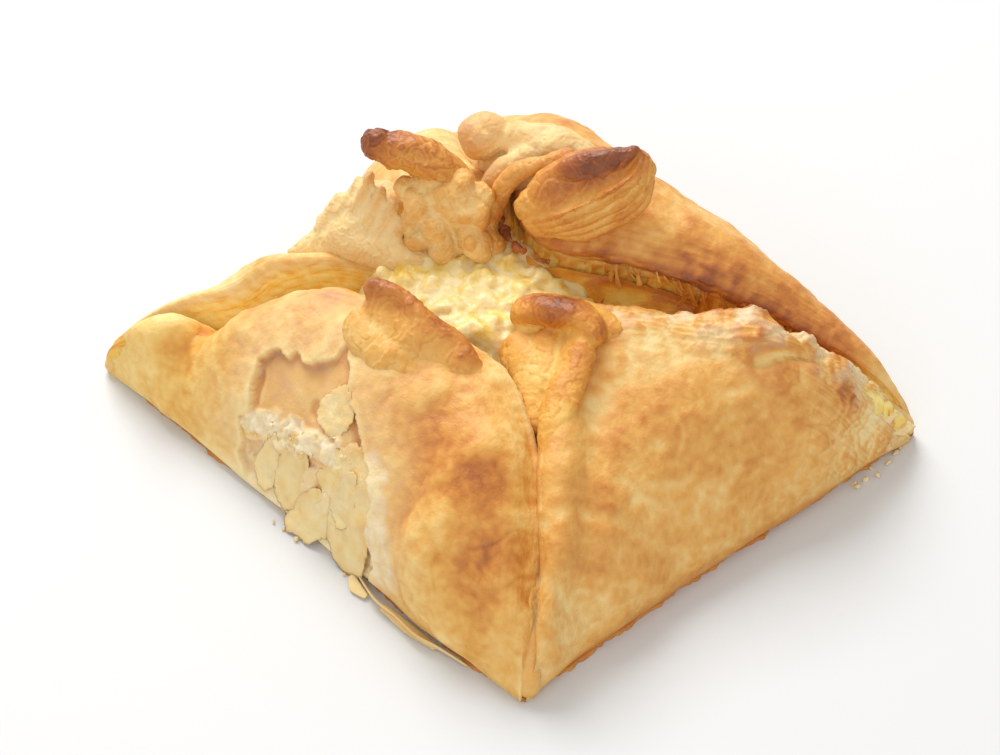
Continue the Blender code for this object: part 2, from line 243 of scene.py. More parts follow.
# %% Arches of the flaps
ARCH = {
    "south": (
        [1, 3, 4, 5, 4, 4, 3, 1.5],
        [0.35, 0.35, 0.38, 0.4, 0.42, 0.42, 0.38, 0.35],
        [0.5, 0.6, 0.62, 0.62, 0.62, 0.7, 0.7, 0.6],
        [0, 1, 2, 2, 2, 2, 1, 0],
    ),
    "east": (
        [1.5, 3, 3, 2, 1.6, 1.4, 1.2, 1],
        [0.35, 0.4, 0.4, 0.38, 0.36, 0.36, 0.35, 0.35],
        [0.6, 0.7, 0.65, 0.6, 0.6, 0.6, 0.6, 0.5],
        [0, 1, 2, 2, 2, 2, 1, 0],
    ),
    "north": (
        [1, 2.4, 4.8, 7.6, 10.4, 10.4, 6.4, 1.5],
        [0.4, 0.45, 0.5, 0.5, 0.5, 0.5, 0.45, 0.4],
        [0.6, 0.75, 0.85, 0.9, 0.9, 0.85, 0.75, 0.6],
        [0, 0.5, 1.5, 1.5, 1.5, 1, 0.5, 0],
    ),
    "west": (
        [1.5, 5, 6, 2, 0, 0, 0.5, 1],
        [0.4, 0.45, 0.45, 0.42, 0.36, 0.3, 0.3, 0.3],
        [0.6, 0.6, 0.5, 0.4, 0.33, 0.33, 0.4, 0.5],
        [0, 0, -2, -5, -6, -4, -2, 0],
    ),
}

# %% [markdown]
# Pillows and hollows come next: each swell is a line on the plan with a reach and a height.
# The front right flap has a rolled ridge beside its seam, the front left one has a pillow
# next to it and a wide hollow where the outer sheet has come away.

# %% Swells of the skin
SWELL = {
    "south": [
        ((27, -33), (26, -21), 6.5, 2.2), ((-19, -28), (-5, -30), 8, -1.6),
        ((-34, -29), (-24, -23), 5, 0.8), ((27, -15.5), (40, -30), 1.8, -0.7),
        ((16, -22), (20, -36), 3, -0.7), ((33, -25), (40, -36), 2.4, 0.5),
        ((-38, -29.5), (-35, -28), 3.5, 0.7), ((-29, -24.5), (-28, -23), 2.2, -0.7),
    ],
    "east": [
        ((26, -7), (44, -31), 2.4, 1.3), ((16, -5), (24, -9), 3.0, -1.2),
        ((40, 0), (42, 20), 10, 1.2),
        ((30, -5), (47.5, -26), 2.2, -0.9), ((44, -27), (49, -14), 1.4, -0.45), ((38, -20), (50, -6), 1.2, -0.35),
        ((24, 9), (31, 13), 3.0, 0.7), ((37, 17), (47, 24), 2.6, 0.6), ((33, 9), (46, 20), 1.6, -0.5),
    ],
    "north": [((20, 27), (46, 35), 4, 0.8), ((-18, 28), (8, 29), 6, 1.0)],
    "west": [((-27, -15), (-22, -7), 4, 0.6), ((-38, 10), (-30, 24), 8, 1.0)],
}


def near_line(points, start, end):
    """Distances on the plan from points to a line between two places."""
    start, end = np.array(start, float), np.array(end, float)
    way = end - start
    share = np.clip(((points[..., :2] - start) @ way) / (way @ way), 0, 1)
    return np.linalg.norm(points[..., :2] - start - share[..., None] * way, axis=-1)


# %% The outside of a flap
ALONG, UP = 320, 130


def skin_of(side, along=ALONG, up=UP):
    low, high = curve_through(FOOT[side], along), curve_through(RIM[side], along)
    start = np.column_stack([low, np.zeros(along)])
    run = low[-1] - low[0]
    outward = np.array([run[1], -run[0], 0.0]) / np.linalg.norm(run)
    even = np.linspace(0, 1, along)
    crest, setback, steepness, bulge = (
        np.interp(even, np.linspace(0, 1, len(row)), row)[:, None] for row in ARCH[side]
    )
    rise = start + outward * bulge + [0, 0, 1] * (steepness * high[:, 2:])
    top = high + (start - high) * [1, 1, 0] * setback + [0, 0, 1] * crest
    t = np.linspace(0, 1, up)[None, :, None]
    start, rise, top, high = (p[:, None, :] for p in (start, rise, top, high))
    skin = (1 - t) ** 3 * start + 3 * (1 - t) ** 2 * t * rise + 3 * (1 - t) * t**2 * top + t**3 * high
    height = sum(
        amount * np.exp(-((near_line(skin, a, b) / reach) ** 2)) for a, b, reach, amount in SWELL[side]
    )
    height = height * np.minimum(1, np.linspace(0, 1, up) / 0.15)
    return skin + square_to(skin) * height[..., None]


# %% [markdown]
# The oven leaves its own relief on the skin: slow dents a centimetre wide, blisters of a few
# millimetres where steam lifted the top sheet, and steps one sheet high where flakes have
# broken off. The relief could be left to the material, but the larger of it throws real
# shadows, so it is pressed into the mesh.

# %% Relief of baked dough
def baked_relief(points, seed):
    """Heights in mm for points of a skin: dents, blisters, wrinkles and pores."""
    dents = 0.60 * uneven(points, 14, seed) + 0.34 * uneven(points, 7, seed + 4)
    blisters = 0.24 * np.maximum(uneven(points, 4.2, seed + 1), -0.2) + 0.11 * uneven(points, 2.2, seed + 2)
    some = step(uneven(points, 16, seed + 8), 0.0, 0.5)
    wrinkles = -0.10 * some * creases(points * [1, 1, 0.7], 7.5, seed + 6) - 0.03 * creases(points, 2.6, seed + 7)
    pores = 0.05 * uneven(points, 1.1, seed + 3)
    return dents + blisters + wrinkles + pores


def creases(points, size, seed):
    """1 in the bottom of thin winding valleys and 0 on the rounds between them."""
    bent = points + 0.35 * size * np.stack([uneven(points, size * 0.8, seed + k) for k in (11, 12, 13)], axis=-1)
    return np.clip(1 - np.abs(uneven(bent, size, seed)) / 0.22, 0, 1) ** 1.5


def broken_sheets(points, size, sheet, seed):
    """Ragged terraces: the surface steps up and down by one sheet's thickness."""
    level = 2.2 * uneven(points, size, seed) + 0.7 * uneven(points, size / 2.7, seed + 1)
    level = level + 0.25 * uneven(points, size / 8, seed + 2)
    whole = np.floor(level)
    return sheet * (whole + step(level - whole, 0.72, 1.0))


def fibres(along, across, length, width, seed):
    """Drawn-out noise for strands that run with the rim, from distances in mm."""
    place = np.stack([along / length, across / width, np.zeros_like(along)], axis=-1)
    return uneven(place, 1.0, seed) + 0.5 * uneven(place * 2.3, 1.0, seed + 1)


# %% [markdown]
# The torn place on the front left flap: the outer sheet stops at a ragged edge, and a
# millimetre lower the next sheets show, smooth and golden above, white and crumbly below.
# In the gaps beside the sheet edges, shade is painted in amber.

# %% The torn place
TORN = [
    (-16.7, 18.0), (-14.7, 20.0), (-13.5, 20.3), (-11.5, 20.5), (-10.5, 21.4), (-9.0, 21.2), (-6.6, 21.6),
    (-4.9, 22.7), (-4.0, 23.9), (-3.4, 25.2), (-2.6, 25.3), (-0.4, 23.9), (1.4, 22.2), (2.8, 21.3), (4.6, 21.4),
    (8.7, 18.2), (10.8, 17.1), (13.4, 14.6), (15.1, 9.9), (16, 5), (14.5, -1), (-11, -1), (-12.9, 1.8),
    (-14.4, 4.1), (-15.9, 10.6), (-14.3, 12.8), (-15.6, 15.3),
]


def inside(points, outline):
    """Distances from flat points to an outline, above zero inside it."""
    corners = np.array(outline, float)
    nearest = np.full(points.shape[:-1], 1e9)
    within = np.zeros(points.shape[:-1], bool)
    for a, b in zip(corners, np.roll(corners, -1, axis=0)):
        way = b - a
        share = np.clip(((points - a) @ way) / (way @ way), 0, 1)
        nearest = np.minimum(nearest, np.linalg.norm(points - a - share[..., None] * way, axis=-1))
        crosses = (a[1] > points[..., 1]) != (b[1] > points[..., 1])
        slope = (b[0] - a[0]) / (b[1] - a[1]) if b[1] != a[1] else 0.0
        within ^= crosses & (points[..., 0] < a[0] + (points[..., 1] - a[1]) * slope)
    return np.where(within, nearest, -nearest)


def torn_depth(skin):
    """How far the skin lies under the missing sheet, how crumbly it is there, and the amber shade painted into the gaps
    beside the sheet edges.
    """
    face = skin[..., [0, 2]]
    edge = inside(face, TORN)
    within = edge + 0.55 * uneven(skin, 3.4, 31) + 0.25 * uneven(skin, 1.2, 32)
    gone = step(within, 0.0, 0.3)
    band = near_line(face, (-13.4, 11.4), (3.4, 15.6))
    fluff = step(2.3 - band + 1.3 * uneven(skin, 3, 34), 0, 1.0) * gone
    lower = step(12.6 + 0.30 * face[..., 0] + 0.8 * uneven(skin, 4, 33) - face[..., 1], 0, 0.6) * gone
    depth = 0.85 * gone + 0.35 * lower
    depth = depth - lower * broken_sheets(skin * [1, 1, 0.6], 4.6, 0.36, 35)
    depth = depth - fluff * (0.55 * uneven(skin * [1, 1, 0.6], 2.6, 37) + 0.4 * uneven(skin, 1.2, 38) + 0.22 * uneven(skin, 0.6, 36) + 0.35)
    depth = depth + (gone - lower) * (0.20 * uneven(skin * [1, 1, 0.5], 4, 39))
    # The gaps beside the torn sheet's edges are sunk a little and coloured amber: painted shade.
    gap = 1.0 - near_line(face, (-15.2, 16.6), (-14.4, 13.6)) + 0.3 * uneven(skin, 2, 40)
    gap = np.maximum(gap, 1.2 - near_line(face, (4.4, 20.6), (8.4, 18.0)))
    gap = np.maximum(gap, 1.3 - near_line(face, (-3.4, 18.0), (1.6, 17.0)))
    amber = step(gap, 0, 0.8) * gone
    depth = depth + 0.35 * amber
    streak = step(4.6 - near_line(face, (11.5, 16.5), (18.0, 6.0)) + 0.8 * uneven(skin * [1, 1, 0.3], 2, 41), 0, 3.0)
    halo = 0.28 * np.exp(-((np.minimum(edge, 0) / 6) ** 2)) * (1 - gone)
    crumb = 0.22 * gone + 0.25 * lower + 0.6 * fluff + 0.7 * streak * (1 - 0.5 * gone)
    return depth, gone, np.clip(np.maximum(crumb, halo), 0, 1), amber


# %% [markdown]
# At the rim the sheet has a thickness. Behind it the dough runs back under the flap, or, on
# the two far flaps, slopes down in full view as a buttery wall. This profile is swept along
# the whole rim and down to the tray, so a flap is one closed loop of rows. The rim itself
# wanders by half a millimetre or more, as a torn or cut edge of dough does.

# %% A whole flap
EDGE = {
    "south": [(0, 0), (0.9, -0.6), (1.35, -1.6), (1.1, -2.7), (0.2, -3.4), (-1.5, -3.8), (-4.5, -4.6), (-6.5, -7)],
    "east": [(0, 0), (0.9, -0.6), (1.3, -1.6), (1.1, -2.7), (0.2, -3.4), (-1.5, -3.8), (-4.5, -4.6), (-6.5, -7)],
    "north": [(0, 0), (1.0, -0.7), (1.2, -1.8), (0.4, -2.6), (0.0, -3.6), (0.5, -5.5), (1.6, -7.5), (3, -9)],
    "west": [(0, 0), (0.7, -0.3), (1.5, -1.1), (2.2, -2.2), (2.9, -3.3), (3.7, -4.3), (4.5, -5.2), (5.5, -6.5)],
}
EDGE_ROWS, UNDER_ROWS, FLOOR_ROWS = 44, 10, 8
RAGGED = {"south": 0.45, "east": 0.75, "north": 0.5, "west": 0.4}


def rim_raggedness(side, points, seed):
    """Slow waves of the rim, and fine ragged ones."""
    more = RAGGED[side] * (0.6 if side == "south" else 1.0)
    if side == "east":
        more = more * (0.3 + 1.3 * step(points[..., 0] + points[..., 1], 20, 32))
    slow = 0.7 * uneven(points, 7, seed + 5)
    fine = 0.45 * uneven(points, 2.8, seed + 6) + 0.2 * uneven(points, 1.2, seed + 7)
    return more * slow, more * fine


def flap(side, seed):
    skin = skin_of(side)
    out = square_to(skin)
    count = len(skin)
    along = np.concatenate([[0], np.cumsum(np.linalg.norm(np.diff(skin[:, -1], axis=0), axis=1))])
    lengths = np.linalg.norm(np.diff(skin, axis=1), axis=2)
    to_rim = np.concatenate([np.cumsum(lengths[:, ::-1], axis=1)[:, ::-1], np.zeros((count, 1))], axis=1)
    along_all = along[:, None] + np.zeros_like(to_rim)
    near_rim = np.exp(-((to_rim / 4.5) ** 2))

    height = baked_relief(skin, seed)
    layered = fibres(along_all, to_rim, 9, 0.75, seed + 20)
    bands = {"south": 0.04, "east": 0.09 * step(skin[..., 0] + skin[..., 1], 20, 30), "north": 0.06, "west": 0.07}[side]
    height = height + bands * layered * np.exp(-((to_rim / 6.5) ** 2))
    amber, crumb, flaky = np.zeros((3, *to_rim.shape))
    if side == "south":
        depth, gone, crumb, amber = torn_depth(skin)
        height = height * (1 - 0.6 * gone) - depth
        flaky = gone
        amber = np.maximum(amber, 0.14 + 0.26 * (1 - step(skin[..., 0], -36, -12)))
    if side == "east":
        upper = step(skin[..., 0] + skin[..., 1], 22, 34) * np.exp(-((to_rim / 7.5) ** 2))
        corner = np.exp(-((np.linalg.norm(skin[..., :2] - [52, 32], axis=-1) / 11) ** 2))
        flaky = np.clip(upper + corner, 0, 1)
        height = height + flaky * (broken_sheets(skin, 4.6, 0.46, 51) + 0.22 * layered)
        slit = np.exp(-((near_line(skin, (41.7, 15.7), (45.9, 22.1)) / 0.75) ** 2))
        height = height - 1.5 * slit
        crumb = 0.6 * upper * step(uneven(skin, 3.6, 52), -0.25, 0.4) * (1 - slit)
    if side == "north":
        height = height + near_rim * 0.12 * fibres(along_all, to_rim, 14, 2.2, seed + 23)
    lift = step(skin[..., 2], 0.6, 4.0)
    skin = skin + out * (height * lift)[..., None]

    rim, foot = skin[:, -1], skin[:, 0]
    away = (rim - foot) * [1, 1, 0]
    width = np.linalg.norm(away, axis=1, keepdims=True)
    away = away / width
    scale = np.clip(np.minimum(rim[:, 2:] / 12, width / 12), 0.15, 1.0)
    slow, fine = rim_raggedness(side, rim, seed)
    rough = slow[:, None] * near_rim**2 + fine[:, None] * np.exp(-((to_rim / 1.1) ** 2))
    skin = skin + (rough * scale)[..., None] * (away[:, None] + [0, 0, 0.55])
    rim = skin[:, -1]
    edge = [rim + away * x * scale + np.array([0, 0, z]) * scale for x, z in curve_through(EDGE[side], EDGE_ROWS)[1:]]
    edge = np.stack(edge, axis=1)
    rows = np.arange(EDGE_ROWS - 1)
    cut = step(rows, 2, 7) * (1 - step(rows, 26, 36))
    drop = rim[:, None, 2] - edge[..., 2]
    layers = fibres(along[:, None] + 0 * drop, drop, 6, 0.42, seed + 8)
    frayed = 0.22 * layers + 0.45 * uneven(edge * [1, 1, 2.5], 2.2, seed + 9)
    if side == "east":
        frayed = frayed * (0.25 + 0.75 * step(edge[..., 0] + edge[..., 1], 20, 32))
    if side == "south":
        frayed = frayed * (1 - 0.6 * step(edge[..., 0], 18, 26))
    if side == "north":
        strands = fibres(drop + 0 * edge[..., 0], along[:, None] + 0 * drop, 7, 0.9, seed + 12)
        wall = step(rows, 16, 24)
        frayed = frayed * (1 - 0.6 * wall) + wall * 0.75 * strands
        cut = np.maximum(cut, wall)
    edge = edge + away[:, None] * (frayed * cut * scale)[..., None]
    edge[..., 2] = np.maximum(edge[..., 2], 0.0)

    last = edge[:, -1]
    ground = last * [1, 1, 0]
    ways = np.linspace(0, 1, UNDER_ROWS + 1)[1:, None, None]
    under = np.moveaxis(last + (ground - last) * ways, 0, 1)
    ways = np.linspace(0, 1, FLOOR_ROWS + 1)[1:, None, None]
    back = np.moveaxis(ground + (foot - ground) * ways, 0, 1)
    loop = np.concatenate([skin, edge, under, back], axis=1)

    # the foot is tucked in and wanders a little, but not at the corners
    outward = np.array([foot[-1, 1] - foot[0, 1], foot[0, 0] - foot[-1, 0], 0.0])
    outward /= np.linalg.norm(outward)
    from_end = (np.minimum(np.arange(count), np.arange(count)[::-1]) * 0.3)[:, None]
    tuck = (1.9 + 0.6 * uneven(foot, 9, seed + 30)[:, None]) * (0.2 + 0.8 * step(from_end, 0, 12))
    rise = np.clip(loop[..., 2] / tuck, 0, 1)
    inset = tuck * (1.2 - np.sqrt(1 - (1 - rise) ** 2) - 0.2 * rise)
    near_foot = np.concatenate([np.ones(UP), np.zeros(loop.shape[1] - UP)])
    near_foot[-FLOOR_ROWS:] = np.linspace(0, 1, FLOOR_ROWS)
    loop = loop - outward * (inset * near_foot)[..., None]

    round_off = np.sqrt(1 - np.clip(1 - from_end / 2.4, 0, 1) ** 2)
    loop[..., 2] *= 0.5 + 0.5 * round_off
    piece = grid_piece(f"flap_{side}", loop)
    total = loop.shape[1]
    row = np.arange(total)
    starts = {"south": 10, "east": 10, "north": 12, "west": 3}[side]
    butter_and_shade = step(row, UP + starts, UP + starts + 12) * np.ones((count, 1))
    # On the front left flap this adds butter on the flap's left part and the amber shade painted into the torn place's
    # gaps.
    butter_and_shade[:, :UP] = np.maximum(butter_and_shade[:, :UP], amber)
    beyond = np.zeros((count, total - UP))
    note(piece, "butter_and_shade", butter_and_shade)
    note(piece, "crumb", np.concatenate([crumb, beyond], axis=1))
    note(piece, "flaky", np.concatenate([flaky, beyond], axis=1))
    return close_up(piece)


SIDES = {"south": 1, "east": 11, "north": 21, "west": 41}
flaps = {side: flap(side, seed) for side, seed in SIDES.items()}

# %% [markdown]
# ## The dough inside
#
# Under the seams the folded sheets press together. What shows of them, deep in the gaps, is
# a rough buttery floor, so it is one low roof under the four rims. Along each seam a strip
# of pressed dough bridges the two rims just below them.

# %% Dough under the seams
def dough_inside():
    rims = np.vstack([curve_through(RIM[side], 90) for side in SIDES])
    inward = rims.mean(axis=0) - rims
    rims = rims + 2.6 * inward * [1, 1, 0] / np.linalg.norm(inward[:, :2], axis=1, keepdims=True)
    around = rims * [1, 1, 0] + [0, 0, 1] * np.maximum(rims[:, 2:] - 4.6, 1.0)
    centre = np.array([*rims[:, :2].mean(axis=0), 15.0])
    ways = np.linspace(0, 1, 60)[None, :, None]
    roof = around[:, None] + (centre - around[:, None]) * ways
    roof[..., 2] += 0.7 * uneven(roof, 4, 61) + 0.5 * uneven(roof, 1.8, 62)
    roof = np.concatenate([around[:, None] * [1, 1, 0], roof], axis=1)
    piece = grid_piece("dough_inside", roof)
    note(piece, "butter_and_shade", np.ones(roof.shape[:2]))
    return close_up(piece)


# %% Pressed dough along a seam
def seam(name, first, second, depth, butter_and_shade, seed, pulled=2.5):
    """A strip between two rims, each given as (side, from, to) in shares of its length."""
    edges = []
    for side, start, stop in (first, second):
        rim = curve_through(RIM[side], 400)
        places = np.linspace(start, stop, 170) * 399
        edges.append(np.stack([np.interp(places, np.arange(400), c) for c in rim.T], axis=1))
    a, b = edges
    gap = np.linalg.norm(a - b, axis=1, keepdims=True)
    ways = np.linspace(0, 1, 40)[None, :, None]
    reach = (1.2 / np.maximum(gap, 0.5))[:, None]
    shares = -reach + ways * (1 + 2 * reach)
    top = a[:, None] + (b - a)[:, None] * shares
    deep = np.interp(np.linspace(0, 1, 170), np.linspace(0, 1, len(depth)), depth)[:, None]
    along = np.linspace(0, 40, 170)[:, None] + 0 * top[..., 2]
    across = shares[..., 0] * gap
    folds = 0.16 * fibres(along, across, 9, 1.0, seed) + 0.35 * uneven(top, 4.6, seed + 3)
    folds = folds + 0.12 * uneven(top, 1.5, seed + 4) + broken_sheets(top, 4, 0.16, seed + 5)
    top[..., 2] += -deep - 0.9 * np.sin(np.clip(shares[..., 0], 0, 1) * math.pi) + folds
    pull = 1 - step(np.linspace(0, 1, 170), 0, 0.1)[:, None, None]
    top = top - pull * pulled * (a[:1] * [1, 1, 0] / np.linalg.norm(a[0, :2]))
    top[..., 2] = np.maximum(top[..., 2], 1.2)
    under = top[:, ::-1] - [0, 0, 1.0]
    piece = grid_piece(name, np.concatenate([top, under, top[:, :1]], axis=1))
    note(piece, "butter_and_shade", np.full(len(piece.data.vertices), butter_and_shade))
    return close_up(piece)


inner = [
    dough_inside(),
    seam("seam_front", ("south", 0.985, 0.68), ("east", 0.02, 0.34), [0.5, 0.6, 0.9, 1.8, 3.4], 0.10, 63, 0.6),
    seam("seam_left", ("south", 0.0, 0.40), ("west", 1.0, 0.60), [1.0, 3.2, 3.6, 3.6, 7], 0.9, 66),
    seam("seam_right", ("east", 1.0, 0.62), ("north", 0.0, 0.36), [0.8, 1.4, 2.2, 3.4, 9], 0.8, 69),
    seam("seam_back", ("north", 1.0, 0.62), ("west", 0.0, 0.40), [0.5, 1.0, 1.4, 1.6, 2], 0.3, 72),
]

# %% [markdown]
# ## Curled tips
#
# The corners of the dough square stand up and curl outward. Each is sketched with a few
# bars of dough: a ball stretched along a path, with a width and a thickness at every point.
# A voxel remesh melts the bars into one skin, as sculptors do, and the relief of broken
# sheets is pressed into that. Single curved sheets would be thinner, but the real tips are
# bundles of dozens of sheets that swell into one lump.

# %% A bar of dough
def bar(path, width, thickness, across=(0, 0, 1), rows=48, around=40):
    deselect()
    bpy.ops.mesh.primitive_uv_sphere_add(segments=around, ring_count=rows, radius=1)
    piece = bpy.context.object
    ball = np.empty(len(piece.data.vertices) * 3)
    piece.data.vertices.foreach_get("co", ball)
    ball = ball.reshape(-1, 3)
    line = curve_through(path, 120)
    share = np.arccos(np.clip(ball[:, 2], -1, 1)) / math.pi
    share = 0.5 - 0.5 * np.cos(share * math.pi)
    even = np.linspace(0, 1, 120)
    place = np.stack([np.interp(share, even, c) for c in line.T], axis=1)
    heading = np.stack([np.interp(share, even, c) for c in np.gradient(line, axis=0).T], axis=1)
    heading /= np.linalg.norm(heading, axis=1, keepdims=True)
    wide = np.array(across, float) - heading * (heading @ np.array(across, float))[:, None]
    wide /= np.linalg.norm(wide, axis=1, keepdims=True)
    thick = np.cross(heading, wide)
    long = np.linalg.norm(np.diff(line, axis=0), axis=1).sum()
    knots = np.linspace(0, 1, len(width))
    half_width, half_thick = np.interp(share, knots, width), np.interp(share, knots, thickness)
    ring = np.maximum(np.linalg.norm(ball[:, :2], axis=1), 1e-9)
    from_end = np.minimum(share, 1 - share) * long / np.maximum(half_thick, 0.3)
    blunt = np.sqrt(1 - np.clip(1 - from_end, 0, 1) ** 2) / ring
    move_points(piece, place + wide * (ball[:, 0] * blunt * half_width)[:, None]
                + thick * (ball[:, 1] * blunt * half_thick)[:, None])
    return piece


# %% Melt bars into one lump
def melted(name, bars, voxel=0.4, rounds=2, seed=0, flakes=0.3, size=5.0, stack=(0, 0, 1), sheet=0.75,
           wrinkled=0.35, layered=0.34):
    """stack is the direction in which the sheets of dough lie on each other."""
    deselect()
    for piece in bars:
        piece.select_set(True)
    bpy.context.view_layer.objects.active = bars[0]
    bpy.ops.object.join()
    lump = bpy.context.object
    lump.name = lump.data.name = name
    melt = lump.modifiers.new("melt", "REMESH")
    melt.mode, melt.voxel_size = "VOXEL", voxel * MM
    soften = lump.modifiers.new("soften", "SMOOTH")
    soften.iterations = rounds
    finer = lump.modifiers.new("finer", "SUBSURF")
    finer.subdivision_type, finer.levels, finer.render_levels = "SIMPLE", 1, 1
    even = lump.modifiers.new("even", "SMOOTH")
    even.iterations = 1
    for modifier in ("melt", "soften", "finer", "even"):
        bpy.ops.object.modifier_apply(modifier=modifier)
    points = points_of(lump)
    out = np.empty(len(points) * 3)
    lump.data.vertices.foreach_get("normal", out)
    out = out.reshape(-1, 3)
    stack = np.array(stack, float) / np.linalg.norm(stack)
    from_side = 1 - np.abs(out @ stack)
    level = points @ stack / sheet + 1.1 * uneven(points, 8, seed + 9) + 0.3 * uneven(points, 3, seed + 10)
    edges = np.abs((level % 1) - 0.5) * 2
    opened = step(uneven(points, 6, seed + 11), -0.1, 0.4)
    height = 0.50 * uneven(points, 7, seed) + 0.22 * uneven(points, 3.2, seed + 1) + 0.06 * uneven(points, 1.4, seed + 2)
    height = height - wrinkled * (0.5 * creases(points, 8, seed + 5) + 0.2 * creases(points, 3.4, seed + 6))
    height = height - layered * step(from_side, 0.3, 0.75) * opened * edges**2
    if flakes:
        height = height + broken_sheets(points, size, flakes, seed + 3)
    move_points(lump, points + out * height[:, None])
    bpy.ops.object.shade_smooth()
    note(lump, "flaky", np.full(len(lump.data.vertices), 0.6))
    print(f"{name}: {len(lump.data.polygons)} faces")
    return lump


# %% Dough pressed shut at the four corners
corners = melted("corners", [
    bar(path, [1.0, 1.5, 1.7, 1.6, 1.3], [0.9, 1.3, 1.5, 1.5, 1.3], across)
    for path, across in (
        ([(40.6, -29.6, 9.4), (43.0, -32.6, 6.6), (44.2, -34.4, 4.2), (44.7, -35.4, 2.0), (44.7, -35.5, 0.4)], (0.7, 0.7, 0)),
        ([(-39.6, -28.0, 9.4), (-42.2, -29.8, 7.0), (-44.2, -31.3, 4.6), (-45.3, -32.0, 2.2), (-45.3, -32.0, 0.4)], (-0.6, 0.8, 0)),
        ([(49.0, 31.2, 10.6), (51.0, 33.0, 7.6), (52.6, 34.6, 4.8), (53.3, 35.5, 2.4), (53.3, 35.5, 0.4)], (0.7, -0.7, 0)),
        ([(-34.8, 32.6, 10.0), (-37.2, 34.4, 7.6), (-39.0, 35.8, 5.0), (-39.8, 36.3, 2.4), (-39.8, 36.3, 0.4)], (0.6, 0.8, 0)),
    )
], seed=84, flakes=0, voxel=0.3, wrinkled=0.1, layered=0, rounds=1)

# %% Rolled lip of the front left flap
SIDEWAYS = (-0.03, 0.70, 0.71)
lip = melted("lip_south", [
    bar([(-4.8, -15.8, 26.4), (1.0, -15.2, 27.4), (6.5, -14.6, 26.5), (11.5, -14.2, 24.8), (17.0, -15.2, 22.2)],
        [3.6, 4.8, 4.9, 4.1, 2.4], [2.6, 3.0, 3.0, 2.6, 1.8], SIDEWAYS),
    bar([(-5.2, -14.4, 30.0), (-1.0, -13.6, 31.2), (4, -13.2, 30.2), (9.5, -12.8, 28.0), (15.8, -13.2, 24.6), (19, -14.4, 22)],
        [1.6, 1.9, 1.5, 1.5, 1.2, 0.8], [1.4, 1.7, 1.4, 1.4, 1.1, 0.8]),
    bar([(-6.2, -17.4, 26.0), (-1.6, -18.8, 26.0), (4.5, -19.2, 24.8), (10.5, -18.2, 23.2), (16.5, -16.4, 21.4)],
        [2.4, 3.2, 3.3, 2.8, 1.7], [2.0, 2.5, 2.6, 2.3, 1.5], (0, 0.5, 0.86)),
], seed=71, flakes=0.14, size=5, stack=(0.2, -0.6, 0.8), wrinkled=0.2, voxel=0.36, layered=0.15, rounds=3)

# %% Hooked tip of the front right flap
hook = melted("hook_east", [
    bar([(10.8, -1.8, 24.6), (13.6, 0.4, 27.2), (17.4, 2.2, 28.1), (21, 2.6, 27.7), (24.6, 1.6, 26.0)],
        [2.4, 3.0, 3.2, 3.0, 2.2], [1.9, 2.3, 2.4, 2.2, 1.8], (0.5, -0.8, 0.3)),
    bar([(20.0, 2.0, 26.8), (23.2, -1.6, 25.6), (25.6, -6.0, 24.4), (27.4, -10.0, 23.4), (31.0, -15.2, 20.8), (34.5, -19.5, 17.8)],
        [2.8, 3.0, 2.8, 2.4, 1.8, 1.0], [1.8, 2.0, 1.9, 1.7, 1.2, 0.6], (0.8, 0.5, 0.4)),
    bar([(12.4, -2.4, 23.8), (16.4, -4.6, 23.0), (20.6, -8.0, 21.8), (25.5, -12.6, 19.6)], [3.2, 3.4, 3.0, 1.6], [2.4, 2.4, 2.0, 1.2],
        (0.6, 0.6, 0.3)),
    bar([(16.0, -0.6, 25.2), (20.0, -3.6, 24.0), (23.4, -8.4, 22.2)], [2.8, 2.8, 2.0], [2.0, 1.9, 1.4], (0.6, 0.6, 0.3)),
    bar([(16.0, 5.2, 25.0), (21.5, 5.8, 25.4), (26, 5.0, 24.6)], [2.2, 2.6, 2.0], [1.8, 2.0, 1.6]),
], seed=72, flakes=0.12, size=5, stack=(0.5, -0.3, 0.8), wrinkled=0.2, voxel=0.36, layered=0.2, rounds=4)

# %% Standing petal, crescent and rolls of the far flap
ACROSS, TOWARD = np.array([0.78, -0.10, -0.62]), np.array([0.42, -0.64, 0.64])
spine = np.array([(0.8, 11.4, 29.2), (5.2, 14.8, 32.6), (9.2, 19.0, 35.6), (11.8, 22.6, 38.0), (12.3, 25.2, 39.9)])
sheets = [bar(spine, [2.4, 5.4, 6.2, 4.8, 1.6], [2.0, 2.6, 2.8, 2.4, 1.2], ACROSS)]
sheets.append(bar(spine - 2.4 * ACROSS * [[0.2], [0.7], [1], [0.7], [0.1]] + 1.7 * TOWARD, [1.4, 3.0, 3.2, 2.2, 0.9], [1.0, 1.5, 1.6, 1.3, 0.8], ACROSS))
for offset, lift, reach in ((1.4, 2.5, 0.9), (2.7, 2.0, 0.95), (3.9, 1.4, 1.0), (5.0, 0.5, 1.0), (5.9, -0.8, 1.0)):
    bow = np.array([0.45, 0.95, 1.0, 0.85, 0.35])[:, None]
    sheets.append(bar(spine + offset * ACROSS * bow + lift * TOWARD * bow, [0.9, 1.5, 1.6, 1.4, 0.7],
                      [0.45, 0.55, 0.55, 0.5, 0.4], TOWARD + 0.35 * ACROSS))
petal = melted("petal_north", sheets, seed=73, flakes=0.10, size=5, stack=(-0.43, -0.62, 0.65), sheet=1.1, wrinkled=0.35,
               voxel=0.3, rounds=2)
curl = melted("curl_north", [
    bar([(-5.0, 11.4, 27.0), (-4.2, 12.6, 31.0), (-2.8, 14.8, 33.6), (-0.7, 17.4, 34.9), (3.0, 20.6, 36.2)],
        [1.5, 1.8, 1.8, 1.7, 1.4], [1.4, 1.6, 1.6, 1.5, 1.3], (0.8, -0.5, 0.2)),
], voxel=0.32, seed=74, flakes=0.1, size=4, stack=(0.6, 0.3, 0.7), wrinkled=0.25, layered=0.15)
